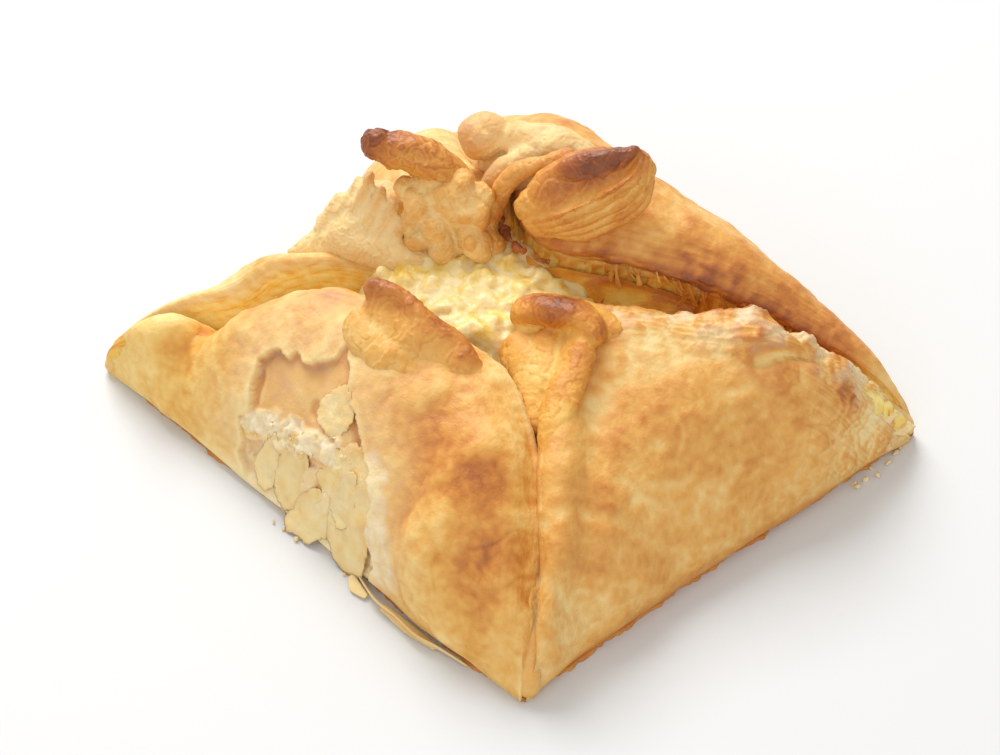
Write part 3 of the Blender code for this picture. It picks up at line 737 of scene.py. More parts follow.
roll = melted("roll_north", [
    bar([(-21, 22, 21), (-13, 21.5, 26.4), (-5, 23, 27.6), (3, 24.5, 27.4), (12, 24.5, 26.4)],
        [1.4, 4.2, 5.8, 5.6, 3.0], [1.2, 3.4, 4.6, 4.6, 2.6], (0, 1, 0)),
    bar([(-15.5, 16.2, 29.6), (-13.4, 18.6, 32.2), (-10.6, 21.0, 32.4)], [3.2, 3.7, 3.2], [3.0, 3.4, 3.0]),
    bar([(-11.5, 20.6, 31.6), (-5, 22.4, 32.8), (1, 24.2, 31.8), (7.5, 26.0, 29.4)], [2.8, 3.2, 3.1, 2.4], [2.6, 2.9, 2.8, 2.2]),
    bar([(-9.5, 14.0, 26.0), (-7.2, 16.6, 30.4), (-4.0, 20.4, 33.0)], [2.2, 2.4, 2.2], [2.0, 2.2, 2.0]),
], seed=75, flakes=0.12, size=4.5, stack=(0, -0.5, 0.85), voxel=0.42, wrinkled=0.3, layered=0.12)

# %% Thumb, crumbly knob and pale folds of the left flap
thumb = melted("thumb_west", [
    bar([(-20.4, 4.0, 35.4), (-17.8, 5.0, 36.0), (-14.4, 6.4, 35.2), (-11.4, 8.2, 33.6), (-8.6, 10.2, 31.4)],
        [2.9, 3.3, 3.3, 2.9, 2.0], [2.7, 3.0, 3.0, 2.6, 1.8], (0.4, -0.7, 0.5)),
    bar([(-21.4, 3.4, 34.6), (-20.2, 3.6, 36.8), (-18.4, 4.6, 37.6)], [2.2, 2.6, 2.0], [2.0, 2.2, 1.7]),
], voxel=0.36, seed=76, flakes=0.18, size=3.2, stack=(0.3, -0.3, 0.9), wrinkled=0.4, layered=0.1)
random = np.random.default_rng(8)
KNOBS = [  # place in front of the wall, size
    (-11.2, 2.0, 31.4, 3.0, 0.9), (-7.4, 5.4, 31.8, 2.6, -0.3), (-3.8, 6.8, 31.0, 2.7, 0.8), (-12.8, 0.6, 28.4, 2.3, -0.6),
    (-8.6, 2.4, 28.2, 3.2, 1.5), (-4.4, 4.8, 28.4, 2.8, 0.1), (-10.4, 0.2, 25.9, 2.3, -0.4), (-6.4, 1.6, 25.4, 3.0, 0.5),
    (-2.4, 4.8, 26.6, 2.6, 1.1), (-14.2, 2.2, 32.4, 2.2, 0.2), (-11.4, 4.4, 34.4, 2.4, 0.0), (-7.6, 7.0, 34.2, 2.3, 0.6),
    (-4.4, 8.8, 32.6, 2.2, 0.0),
]
bars = [
    bar([(-17, 5.4, 28.0), (-9, 8.2, 28.8), (-3, 11.4, 27.6)], [3.6, 3.9, 3.2], [3.2, 3.5, 2.8]),
    bar([(-16, 3.6, 23.4), (-8, 6.0, 23.8), (-1, 9.6, 23.8)], [3.2, 3.6, 3.2], [3.0, 3.4, 2.8]),
    bar([(-15, 4.4, 29.0), (-8.8, 6.2, 29.8), (-3.2, 9.4, 28.8)], [3.4, 4.2, 3.4], [2.4, 2.8, 2.4]),
]
for x, y, z, size, ahead in KNOBS:
    turn = random.normal(size=3)
    turn *= size * 0.75 / np.linalg.norm(turn)
    centre = np.array([x, y, z]) + (ahead - 0.9 * size) * TOWARD
    bars.append(bar([centre - turn, centre, centre + turn], [size * 1.1] * 3, [size] * 3, random.uniform(-1, 1, 3), rows=24, around=24))
for _ in range(9):
    x, y, z, size, ahead = KNOBS[random.integers(len(KNOBS))]
    toward = random.normal(size=3) + TOWARD
    toward /= np.linalg.norm(toward)
    centre = np.array([x, y, z]) + (ahead - 0.9 * size) * TOWARD + toward * size * 0.8
    small = random.uniform(0.7, 1.3)
    bars.append(bar([centre - toward * small, centre, centre + toward * small], [small] * 3, [small * 0.8] * 3,
                    random.uniform(-1, 1, 3), rows=16, around=16))
knob = melted("knob_west", bars, voxel=0.34, rounds=2, seed=77, flakes=0.12, size=3.0, stack=(0.3, -0.4, 0.85), wrinkled=0.25, layered=0.1)
bars = [
    bar([(-27, -8.0, 15), (-22.6, -1.2, 21.6), (-18.5, 4.4, 28.0)], [1.6, 4.8, 4.8], [1.2, 3.8, 4.0], (0.6, -0.6, 0.5)),
    bar([(-31, -7.4, 15.8), (-26, -5.0, 19.2), (-19.5, -2.6, 21.2), (-12.5, -0.9, 21.6), (-7, 1.5, 21)],
        [0.9, 2.6, 3.4, 3.2, 2.4], [0.8, 2.4, 3.0, 2.9, 2.2]),
]
for x, y, z, top, size in ((-25.8, -2.6, 18, 27.6, 2.2), (-23.9, -1.0, 19, 30.4, 2.4), (-21.6, -0.6, 19, 32.6, 2.6),
                           (-19.2, -0.6, 19, 31.0, 2.4), (-17.0, -0.4, 19, 29.4, 2.3), (-15.0, -0.4, 20, 27.4, 2.0)):
    bars.append(bar([(x - 1.2, y - 2.4, z), (x, y, (z + top) / 2), (x + 1.2, y + 2.4, top)],
                    [size, size, size * 0.5], [1.3, 1.7, 0.9], TOWARD, rows=40))
folds = melted("fold_west", bars, voxel=0.38, rounds=1, seed=78, flakes=0.16, size=4, wrinkled=0.15, layered=0)
# Dark blobs in the crevice between the petal's foot and the knob: burnt butter's colour and painted shade of the
# crevice.
random = np.random.default_rng(17)
bars = []
for x, y, z, size in ((-4.8, 12.2, 27.2, 1.2), (-3.6, 11.3, 26.4, 1.0), (-2.0, 10.5, 25.9, 1.3), (-0.8, 9.9, 25.5, 1.0), (1.0, 9.4, 25.2, 1.2),
                      (2.4, 9.4, 25.0, 0.8), (5.0, 9.8, 25.3, 0.9), (6.6, 10.1, 25.0, 0.8)):
    turn = random.normal(size=3)
    turn *= 0.8 * size / np.linalg.norm(turn)
    bars.append(bar([np.array([x, y, z]) - turn, (x, y, z), np.array([x, y, z]) + turn], [size * 0.7, size, size * 0.8],
                    [size * 0.6] * 3, random.normal(size=3), rows=16, around=16))
burnt_and_shaded = melted("burnt_butter_and_shade", bars, seed=80, flakes=0.2, size=1.6, voxel=0.28, rounds=2, layered=0, wrinkled=0.1)
tips = [lip, hook, petal, curl, roll, thumb, knob, folds, burnt_and_shaded, corners]

# %% [markdown]
# ## Leaves, strands and crumbs
#
# Where the crust is torn, single sheets of dough stand free. A leaf is a ball pressed flat:
# its rim follows a ragged outline, its inside lies on the crust below, found by casting rays
# on a grid across it and fitting a smooth surface to their hits, and one edge may lift.
# Strands are the same bars as above, only thin.

# %% A loose leaf of dough
def surface_of(piece):
    mesh = piece.data
    return BVHTree.FromPolygons([tuple(v) for v in points_of(piece)], [p.vertices[:] for p in mesh.polygons])


def leaf(ground, centre, outline, thickness=0.4, gap=0.1, lift=(0, 0, 0), facing=None, seed=0, around=64, rings=22):
    """outline: (sideways, down) in mm; lift: direction (sideways, down) and height in mm."""
    centre = Vector(centre)
    hit, normal, _, _ = ground.find_nearest(centre) if ground else (centre, Vector((0, 0, 1)), 0, 0)
    normal = Vector(facing or normal).normalized()
    down = Vector((0, 0, -1)) if abs(normal.z) < 0.95 else Vector((0.8, -0.6, 0))
    down = (down - normal * down.dot(normal)).normalized()
    side = down.cross(normal)
    deselect()
    bpy.ops.mesh.primitive_uv_sphere_add(segments=around, ring_count=rings, radius=1)
    piece = bpy.context.object
    ball = np.empty(len(piece.data.vertices) * 3)
    piece.data.vertices.foreach_get("co", ball)
    ball = ball.reshape(-1, 3)
    share = np.arccos(np.clip(ball[:, 2], -1, 1)) / math.pi
    spread = 1 - np.abs(1 - 2 * share)
    turn = np.arctan2(ball[:, 1], ball[:, 0])
    corners = curve_through([*outline, outline[0]], 160)[:-1]
    bearing, far = np.arctan2(corners[:, 1], corners[:, 0]), np.hypot(corners[:, 0], corners[:, 1])
    order = np.argsort(bearing)
    reach = np.interp(turn, bearing[order], far[order], period=2 * math.pi)
    ring = np.column_stack([np.cos(turn), np.sin(turn), np.zeros(len(turn))])
    reach = reach * (1 + 0.10 * uneven(ring * 2 + seed, 1.1, seed) + 0.09 * uneven(ring * 6 + seed, 1.1, seed + 1)
                     + 0.05 * uneven(ring * 16 + seed, 1.1, seed + 3))
    x, y = spread * reach * np.cos(turn), spread * reach * np.sin(turn)
    way = np.array(lift[:2], float)
    slope = np.maximum((x * way[0] + y * way[1]) / max(np.linalg.norm(way) * far.mean(), 1e-6), 0) ** 2 * lift[2]
    flat = np.column_stack([x, y, 0 * x]) + seed * 3.0
    height = gap + slope + 0.34 * uneven(flat, 3.6, seed + 2) + 0.12 * uneven(flat, 1.4, seed + 4)
    height = height + np.sign(0.5 - share) * thickness / 2 * np.sqrt(1 - spread**2)
    flat = np.array(hit) + np.outer(x, side) + np.outer(y, down)
    if ground:
        grid_x, grid_y = (g.ravel() for g in np.meshgrid(np.linspace(x.min(), x.max(), 9), np.linspace(y.min(), y.max(), 9)))
        met = []
        for gx, gy in zip(grid_x, grid_y):
            start = hit + side * gx + down * gy
            found = ground.ray_cast(start + normal * 4, -normal, 8)[0]
            if found:
                met.append((gx, gy, (found - start).dot(normal)))
        gx, gy, deep = np.array(met).T
        fit = np.linalg.lstsq(np.column_stack([gx * 0 + 1, gx, gy, gx * gx, gx * gy, gy * gy]), deep, rcond=None)[0]
        height = height + np.column_stack([x * 0 + 1, x, y, x * x, x * y, y * y]) @ fit
    move_points(piece, flat + np.outer(height, normal))
    return piece


def gathered(name, parts, flaky=0.6, crumb=0.0, butter_and_shade=0.0):
    """Joins loose leaves or strands into one piece."""
    deselect()
    for part in parts:
        part.select_set(True)
    bpy.context.view_layer.objects.active = parts[0]
    bpy.ops.object.join()
    piece = bpy.context.object
    piece.name = piece.data.name = name
    close_up(piece)
    patchy = 1 + 0.8 * uneven(points_of(piece), 2.8, 7)
    for label, value in (("flaky", flaky), ("crumb", crumb), ("butter_and_shade", butter_and_shade)):
        note(piece, label, np.clip(value * patchy, 0, 1))
    return piece


# %% Flakes left in the torn place
front = surface_of(flaps["south"])


def on_front(x, z):
    return front.ray_cast(Vector((x, -70, z)), Vector((0, 1, 0)))[0]


TORN_FLAKES = [  # outline (x, z), gap, lift (left, down, height)
    ([(-1.7, 21.2), (0.6, 22.6), (3.4, 21.4), (4.6, 19.4), (3.4, 17.4), (1.4, 16.2), (-1.4, 17.2), (-2.6, 18.8)], 0.25, (1, 0.5, 0.7)),
    ([(3.7, 15.6), (6.8, 17.4), (10.6, 16.6), (12.8, 14.7), (14.3, 11.1), (14.0, 6.2), (12.2, 2.2), (9.0, 1.6), (6.4, 4.2), (4.6, 8.6), (2.0, 11.1), (2.5, 13.2)],
     0.12, (0.5, 1, 0.5)),
    ([(0.0, 6.9), (2.6, 8.4), (5.8, 7.8), (6.4, 4.6), (3.6, 1.4), (-0.2, 0.9), (-3.4, 1.4), (-2.7, 4.0)], 0.3, (0.4, 1, 0.7)),
    ([(-6.8, 10.0), (-3.9, 12.3), (-1.0, 10.9), (0.3, 8.0), (-1.3, 4.9), (-3.4, 2.4), (-6.1, 3.4), (-6.9, 6.8)], 0.1, (0.6, 0.5, 0.5)),
    ([(-10.5, 8.1), (-8.3, 10.8), (-6.4, 9.1), (-6.3, 6.1), (-8.2, 3.0), (-10.6, 3.9), (-11.6, 6.0)], 0.1, (0.8, 0.5, 0.6)),
    ([(5.2, 12.2), (8.8, 14.4), (10.0, 11.0), (8.6, 7.0), (5.6, 8.4)], 0.35, (0.6, 0.8, 0.4)),
]


def torn_leaf(outline, gap, lift, seed):
    middle = np.mean(outline, axis=0)
    local = [(middle[0] - x, (middle[1] - z) / 0.8) for x, z in outline]
    return leaf(front, on_front(*middle), local, lift=lift, gap=gap, thickness=0.30, seed=seed, facing=(0.05, -0.80, 0.60),
                around=96, rings=30)


torn_flakes = gathered("torn_flakes", [torn_leaf(*flake, 90 + k) for k, flake in enumerate(TORN_FLAKES)], crumb=0.25, butter_and_shade=0.12)

# %% Frayed sheets at the right corner
random = np.random.default_rng(12)
right_face = surface_of(flaps["east"])


def ragged_outline(random, wide, tall):
    turns = np.sort(random.uniform(0, 2 * math.pi, 9) * 0.25 + np.arange(9) * 2 * math.pi / 9 * 0.75)
    far = random.uniform(0.8, 1.1, 9)
    return [(wide * f * math.cos(t), tall * f * math.sin(t)) for t, f in zip(turns * 2 * math.pi / turns[-1] * 0.89, far)]


parts = []
CORNER_SHEETS = [  # place, half width, half height, lift
    ((53.9, 33.4, 4.4), 2.3, 1.3, 0.9), ((53.2, 29.4, 2.8), 2.0, 1.0, 0.7), ((52.4, 31.0, 7.6), 2.4, 1.2, 0.5),
]
for k, (spot, wide, tall, lift) in enumerate(CORNER_SHEETS):
    parts.append(leaf(None, spot, ragged_outline(random, wide, tall), thickness=0.22, gap=0,
                      lift=(-1, 0.3, lift), seed=140 + k, facing=(0.62, -0.32, 0.72), around=56, rings=16))
edge_flakes = gathered("edge_flakes", parts, crumb=0.5, butter_and_shade=0.1)

# %% Strands that hang under the far rim, and at the right corner
parts = []
far_rim = curve_through(RIM["north"], 300)
for k in range(44):
    top = far_rim[int(random.uniform(0.10, 0.46) * 299)]
    lean = random.uniform(-3.0, 3.0)
    start = top + [lean * 0.2, 0.2, -1.2]
    end = top + [lean + 0.8, -random.uniform(-0.8, 1.6), -random.uniform(3.0, 7.0)]
    middle = (start + end) / 2 + [random.uniform(-0.8, 0.8), -random.uniform(-0.2, 1.0), 0]
    thick = random.uniform(0.08, 0.2)
    parts.append(bar([start, middle, end], [thick * 4.0, thick, thick * 3.0], [thick, thick * 0.7, thick],
                     (1, 0.3, 0), rows=24, around=12))
for k in range(12):
    start = np.array([random.uniform(46, 52.5), random.uniform(24, 33), random.uniform(5, 13)])
    start[2] = min(start[2], (54 - start[0]) * 1.6 + 4)
    end = start + [random.uniform(0.5, 2.2), random.uniform(-0.5, 2.5), -random.uniform(1.0, 4.0)]
    end = np.minimum(end, [56.2, 36, 40])
    end[2] = max(end[2], 0.6)
    thick = random.uniform(0.14, 0.34)
    parts.append(bar([start, (start + end) / 2 + random.normal(size=3) * 0.4, end], [thick * 1.5] * 3, [thick * 0.6] * 3,
                     (0, 0.4, 1), rows=20, around=12))
strands = gathered("strands", parts, butter_and_shade=0.4)

# %% Bottom sheet and the sliver peeled from it
def bottom_sheet():
    outline = np.vstack([curve_through(FOOT[side], 260)[:-1] for side in ("south", "east", "north", "west")])
    middle = outline.mean(axis=0)
    away = (outline - middle) / np.linalg.norm(outline - middle, axis=1, keepdims=True)
    flat = np.column_stack([outline, np.zeros(len(outline))])
    jagged = 0.9 * np.maximum(uneven(flat, 6, 151), -0.6) + 0.5 * uneven(flat, 1.7, 152) + 0.25 * uneven(flat, 0.7, 153)
    right = step(outline @ [0.9, -0.4], 20, 34)
    outline = outline + away * ((0.75 + 0.25 * right) * jagged - 0.9 + 0.55 * right)[:, None]
    rows = []
    for share, z in ((1.0, 0.0), (1.0, 0.15), (1.0, 0.3), (0.985, 0.42), (0.96, 0.5), (0.9, 0.55), (0.6, 0.6), (0.0, 0.6)):
        row = middle + (outline - middle) * share
        lift = z * (1 + 0.5 * uneven(flat, 4, 154)) if z else 0 * row[:, 0]
        rows.append(np.column_stack([row, lift]))
    piece = grid_piece("bottom_sheet", np.stack([np.vstack([r, r[:1]]) for r in rows], axis=1))
    return close_up(piece)


sheet = bottom_sheet()
sliver = gathered("peeled_sliver", [
    bar([(13.2, -36.8, 1.0), (18, -38.4, 1.3), (22, -38.7, 1.5), (27, -39.2, 1.3), (31, -38.6, 1.2), (35.5, -38.0, 0.7)],
        [0.5, 1.1, 0.9, 1.3, 1.0, 0.3], [0.16, 0.2, 0.18, 0.2, 0.18, 0.14], (0.0, -0.35, 0.94), rows=120, around=24),
    bar([(11.6, -36.9, 0.5), (13.6, -38.2, 0.6), (16.2, -38.5, 0.6)], [0.5, 0.9, 0.4], [0.2, 0.22, 0.18], (0.5, 1, 0.2)),
    bar([(19, -38.2, 0.5), (25, -38.5, 0.4), (30, -38.4, 0.4)], [0.6, 0.9, 0.5], [0.2, 0.22, 0.18], (0.1, 1, 0.1), rows=80, around=24),
], crumb=0.2)

# %% Crumbs
def crumbs(name, places, seed):
    """One irregular crumb, copied, each copy with its own mesh, turn and size."""
    random = np.random.default_rng(seed)
    deselect()
    bpy.ops.mesh.primitive_ico_sphere_add(subdivisions=3, radius=1)
    first = bpy.context.object
    shape = np.empty(len(first.data.vertices) * 3)
    first.data.vertices.foreach_get("co", shape)
    shape = shape.reshape(-1, 3)
    shape = shape * (1 + 0.4 * uneven(shape, 0.9, seed) + 0.15 * uneven(shape, 0.4, seed + 1))[:, None] * [1, 0.75, 0.5]
    parts = []
    for place, size in places:
        copy = first.copy()
        copy.data = first.data.copy()
        bpy.context.scene.collection.objects.link(copy)
        turn = np.linalg.qr(random.normal(size=(3, 3)))[0]
        if np.linalg.det(turn) < 0:
            turn[0] *= -1
        moved = shape * size @ turn.T
        rest = moved[:, 2].min() if place[2] <= 0.01 else -0.3 * size
        move_points(copy, moved + place - [0, 0, rest + 0.05])
        parts.append(copy)
    bpy.data.objects.remove(first)
    return gathered(name, parts, crumb=0.5)


random = np.random.default_rng(30)
places = []
for _ in range(8):
    places.append((np.array([random.uniform(53.0, 55.5), random.uniform(22, 35), 0.0]), random.uniform(0.3, 0.6)))
for _ in range(4):
    places.append((np.array([random.uniform(-8, 12), random.uniform(-37.6, -36.8), 0.0]), random.uniform(0.25, 0.5)))
for _ in range(30):
    x = random.uniform(-13, 7)
    z = 14.4 + 0.36 * x + random.uniform(-2.4, 2.0)
    hit = on_front(x, z)
    if hit:
        places.append((np.array(hit), random.uniform(0.2, 0.5)))
loose_crumbs = crumbs("loose_crumbs", places, 33)
loose = [torn_flakes, edge_flakes, strands, sheet, sliver, loose_crumbs]

# %% [markdown]
# ## The cheese
#
# Curd cheese bakes into a moist, crumbly heap: grains of one to five millimetres stuck
# together. Grains are scattered over a dome from a fixed list of random numbers, and a voxel
# remesh melts them into one skin.

# %% Curd cheese filling
def curd():
    random = np.random.default_rng(5)
    deselect()
    bpy.ops.mesh.primitive_ico_sphere_add(subdivisions=6, radius=1)
    heap = bpy.context.object
    ball = np.empty(len(heap.data.vertices) * 3)
    heap.data.vertices.foreach_get("co", ball)
    ball = ball.reshape(-1, 3)
    reach = np.maximum(np.linalg.norm(ball[:, :2], axis=1), 1e-6)
    spread = reach ** (1 / 1.6) / reach
    dome = ball * np.column_stack([spread * 24.2, spread * 18.2, np.full(len(ball), 18.5)])
    dome[:, 2] = np.maximum(dome[:, 2], 0)
    move_points(heap, dome + [1, 2, 5])
    grains = []
    for k in range(300):
        size = random.uniform(0.7, 2.2) if k > 25 else random.uniform(2.0, 3.6)
        turn, far = random.uniform(0, 2 * math.pi), math.sqrt(random.uniform(0, 0.55))
        x, y = math.cos(turn) * far, math.sin(turn) * far
        z = 18.5 * math.sqrt(max(0.0, 1 - far ** 3.2)) + 5 - size * random.uniform(0.1, 0.6)
        bpy.ops.mesh.primitive_ico_sphere_add(subdivisions=3, radius=1)
        grain = bpy.context.object
        shape = np.empty(len(grain.data.vertices) * 3)
        grain.data.vertices.foreach_get("co", shape)
        shape = shape.reshape(-1, 3) * (size * random.uniform(0.6, 1.0, 3))
        shape = shape + 0.5 * size * uneven(shape + k * 9.0, size * 1.2, 81)[:, None] * shape / size
        move_points(grain, shape + [1 + x * 24, 2 + y * 18, z])
        grains.append(grain)
    deselect()
    for grain in grains:
        grain.select_set(True)
    heap.select_set(True)
    bpy.context.view_layer.objects.active = heap
    bpy.ops.object.join()
    heap.name = heap.data.name = "curd_heap"
    melt = heap.modifiers.new("melt", "REMESH")
    melt.mode, melt.voxel_size = "VOXEL", 0.42 * MM
    soften = heap.modifiers.new("soften", "SMOOTH")
    soften.iterations = 2
    bpy.ops.object.modifier_apply(modifier="melt")
    bpy.ops.object.modifier_apply(modifier="soften")
    points, out = points_of(heap), np.empty(len(heap.data.vertices) * 3)
    heap.data.vertices.foreach_get("normal", out)
    crumbly = 0.24 * uneven(points, 1.7, 82) + 0.16 * uneven(points, 0.9, 83)
    move_points(heap, points + out.reshape(-1, 3) * crumbly[:, None])
    bpy.ops.object.shade_smooth()
    print("curd_heap:", len(heap.data.polygons), "faces")
    return heap


cheese = curd()

# %% [markdown]
# ## Browning
#
# Heat browns what sticks out and leaves hollows pale. Each vertex gets a browning number
# from how far it stands out from its neighbours, from its height, and from the scorched places
# that this pastry has; two of them are painted shade where the light falls strongly.
# A material alone could not know where a tip or a fold is.

# %% How far each point stands out
def stands_out(piece, rounds):
    """How far vertices lie outside a smoothed copy of their mesh, in mm."""
    mesh = piece.data
    pairs = np.empty(len(mesh.edges) * 2, np.int64)
    mesh.edges.foreach_get("vertices", pairs)
    a, b = pairs.reshape(-1, 2).T
    count = len(mesh.vertices)
    links = np.bincount(a, minlength=count) + np.bincount(b, minlength=count)
    start = points_of(piece)
    smooth = start.copy()
    for _ in range(rounds):
        total = np.zeros_like(smooth)
        for axis in range(3):
            total[:, axis] = np.bincount(a, smooth[b, axis], count) + np.bincount(b, smooth[a, axis], count)
        smooth = total / np.maximum(links, 1)[:, None]
    out = np.empty(count * 3)
    mesh.vertices.foreach_get("normal", out)
    return np.einsum("ij,ij->i", start - smooth, out.reshape(-1, 3))


# %% Scorched and pale places, and spots of painted shade
SCORCHED_AND_SHADED = [
    ((10, 19.4, 40.6), 4.0, 0.36), ((7, 15.6, 38.2), 4.2, 0.29), ((12.0, 23.4, 40.6), 3.0, 0.26), ((4.5, 13.5, 35), 3, 0.08),
    ((-21.4, 3.4, 37.0), 3.6, 0.42), ((-17.6, 4.8, 39.0), 3.6, 0.18), ((-12.5, 6.0, 37.0), 4, 0.08),
    ((-2.6, -13.2, 31.8), 3.0, 0.30), ((2.5, -12.6, 31.0), 2.8, 0.22), ((7.5, -12, 29.4), 2.8, 0.24), ((12, -11.8, 27), 2.8, 0.22),
    ((-3.8, -15.2, 29.0), 2.5, 0.12), ((2, -14, 30.6), 1.8, 0.14), ((7, -13.6, 29.2), 1.8, 0.14), ((12.5, -13.4, 27), 1.8, 0.12),
    ((14.2, 0.6, 29), 2.6, 0.24), ((18.5, 2.6, 30.2), 3.2, 0.28), ((23.8, 3.4, 28), 2.2, 0.28),
    ((25, -2, 27), 2.5, 0.14), ((27, -8, 25.5), 2.8, 0.08), ((30.5, -14.0, 23.5), 2.8, 0.08), ((35, -19.5, 20.5), 2.8, 0.08),
    # ((20, -26, 23)) on the front left pillow, where the window light falls strongly, and ((16, 22.5, 36)) at the
    # petal's edge, where a highlight falls, are painted shade.
    ((39, -25, 17), 2.8, 0.06), ((17.5, 0.6, 29), 2.8, 0.16), ((16, 22.5, 36), 3, 0.10), ((14, -26, 24), 8, 0.08), ((20, -26, 23), 6, 0.08), ((34, -9.5, 20), 4, 0.10), ((39, -15.5, 17), 4, 0.14), ((43, -21, 13), 4, 0.12),
    ((27, -26, 23), 5.5, 0.24), ((34, -30, 17), 4, 0.2), ((36.5, -34, 11), 4, 0.14), ((30, -34, 14), 5, 0.10),
    ((46, 8, 14), 9, 0.04), ((43.8, 18.9, 18.8), 1.5, 0.50), ((43, 17.5, 19.6), 1.5, 0.3), ((51, 25, 16.5), 2.5, 0.30),
    ((22, 21.5, 27), 4.0, 0.18), ((28, 24.5, 25.5), 4.6, 0.20), ((36, 28, 22), 5, 0.20), ((44, 31, 17.5), 5, 0.16),
    ((24, 21, 20.5), 5, 0.20), ((33, 25, 17.5), 5, 0.20), ((41, 29, 12.5), 5, 0.15), ((15, 15, 25), 4, 0.14),
    ((-33, -30, 12.4), 3, 0.12), ((-24, -20, 18.5), 3.0, 0.18), ((-13, -15, 25.0), 4, 0.22),
    ((40, 34, 18), 6, 0.1), ((-14, 16.0, 35), 3, 0.14), ((-2, 9, 28), 3.4, 0.25),
]
PALE = [
    ((-38, -31, 8), 8, 0.1), ((-27, -28, 13), 7, 0.08),  ((29, 8, 26), 5, 0.22), ((32, -16.5, 22), 3, 0.16), ((36, -22, 19), 3, 0.16), ((28, -11, 24), 3, 0.12),
    ((-24, 0, 28), 6, 0.1), ((-30, -12, 15), 8, 0.1), ((21, -7, 24), 4, 0.12), ((-4, 21, 35.5), 4.5, 0.10),
    ((1, 24, 35), 4, 0.12), ((0, -20.5, 25.6), 4, 0.08), ((7, -20, 24.4), 4, 0.04), ((49, 30, 9), 6, 0.18), ((36, 16, 26), 4, 0.1), ((-8, 0, 26), 5, 0.08),
]


def brown(piece, base=0.36, seed=0, rise=0.16):
    place = points_of(piece)
    fine, broad = stands_out(piece, 6), stands_out(piece, 60)
    amount = base + 0.10 * np.clip((place[:, 2] - 15) / 25, -0.6, 1)
    amount = amount + np.clip(fine / 0.07, -1, 1) * 0.08 + np.clip(broad / 0.6, -1, 1) * rise
    for spots, sign in ((SCORCHED_AND_SHADED, 1), (PALE, -1)):
        for spot, reach, strength in spots:
            away = np.linalg.norm(place - spot, axis=1)
            amount = amount + sign * strength * np.exp(-((away / reach) ** 2))
    amount = amount + 0.06 * uneven(place, 14, seed + 1) + 0.04 * uneven(place, 5, seed + 2)
    amount = amount + 0.03 * uneven(place, 1.8, seed + 3)
    note(piece, "browning", np.clip(amount, 0, 1))


for side, base in (("south", 0.42), ("east", 0.37), ("north", 0.35), ("west", 0.24)):
    brown(flaps[side], base)
for piece, base in zip(tips, (0.34, 0.39, 0.34, 0.34, 0.22, 0.38, 0.27, 0.22, 0.60, 0.36)):
    brown(piece, base, rise=0.10)
# The dark blobs in that crevice get dark amber: burnt butter's colour and painted shade.
for piece, label, amount in ((burnt_and_shaded, "butter_and_shade", 0.6), (roll, "crumb", 0.2), (folds, "crumb", 0.18), (petal, "butter_and_shade", 0.2),
                             (hook, "butter_and_shade", 0.4), (thumb, "butter_and_shade", 0.2), (lip, "butter_and_shade", 0.1)):
    note(piece, label, np.full(len(piece.data.vertices), amount))
for piece in inner:
    brown(piece, base=0.3)
for piece, base in zip(loose, (0.24, 0.28, 0.24, 0.50, 0.24, 0.24)):
    brown(piece, base, rise=0.05)

# %% [markdown]
# ## Finishes
#
# Colours are given as a screen shows them, in hex, and turned into the linear light that the
# shader wants. One small function adds a node, sets it and links it.

# %% Colour and node helpers
def colour(hex_code):
    parts = [int(hex_code[k : k + 2], 16) / 255 for k in (0, 2, 4)]
    return (*(c / 12.92 if c <= 0.04045 else ((c + 0.055) / 1.055) ** 2.4 for c in parts), 1.0)


def add_node(tree, kind, settings=None, **links):
    """A node with attributes set, its inputs filled from values or from other nodes' outputs."""
    node = tree.nodes.new(kind)
    for key, value in (settings or {}).items():
        setattr(node, key, value)
    for key, value in links.items():
        socket = node.inputs[int(key[1:])] if key[1:].isdigit() else node.inputs[key.replace("_", " ")]
        if isinstance(value, bpy.types.NodeSocket):
            tree.links.new(value, socket)
        else:
            socket.default_value = value
    return node


def ramp(tree, factor, stops):
    node = add_node(tree, "ShaderNodeValToRGB", Fac=factor)
    while len(node.color_ramp.elements) < len(stops):
        node.color_ramp.elements.new(0.5)
    for element, (place, code) in zip(node.color_ramp.elements, stops):
        element.position, element.color = place, colour(code)
    return node.outputs["Color"]


def new_finish(name):
    made = bpy.data.materials.new(name)
    made.use_nodes = True
    return made, made.node_tree, made.node_tree.nodes["Principled BSDF"]
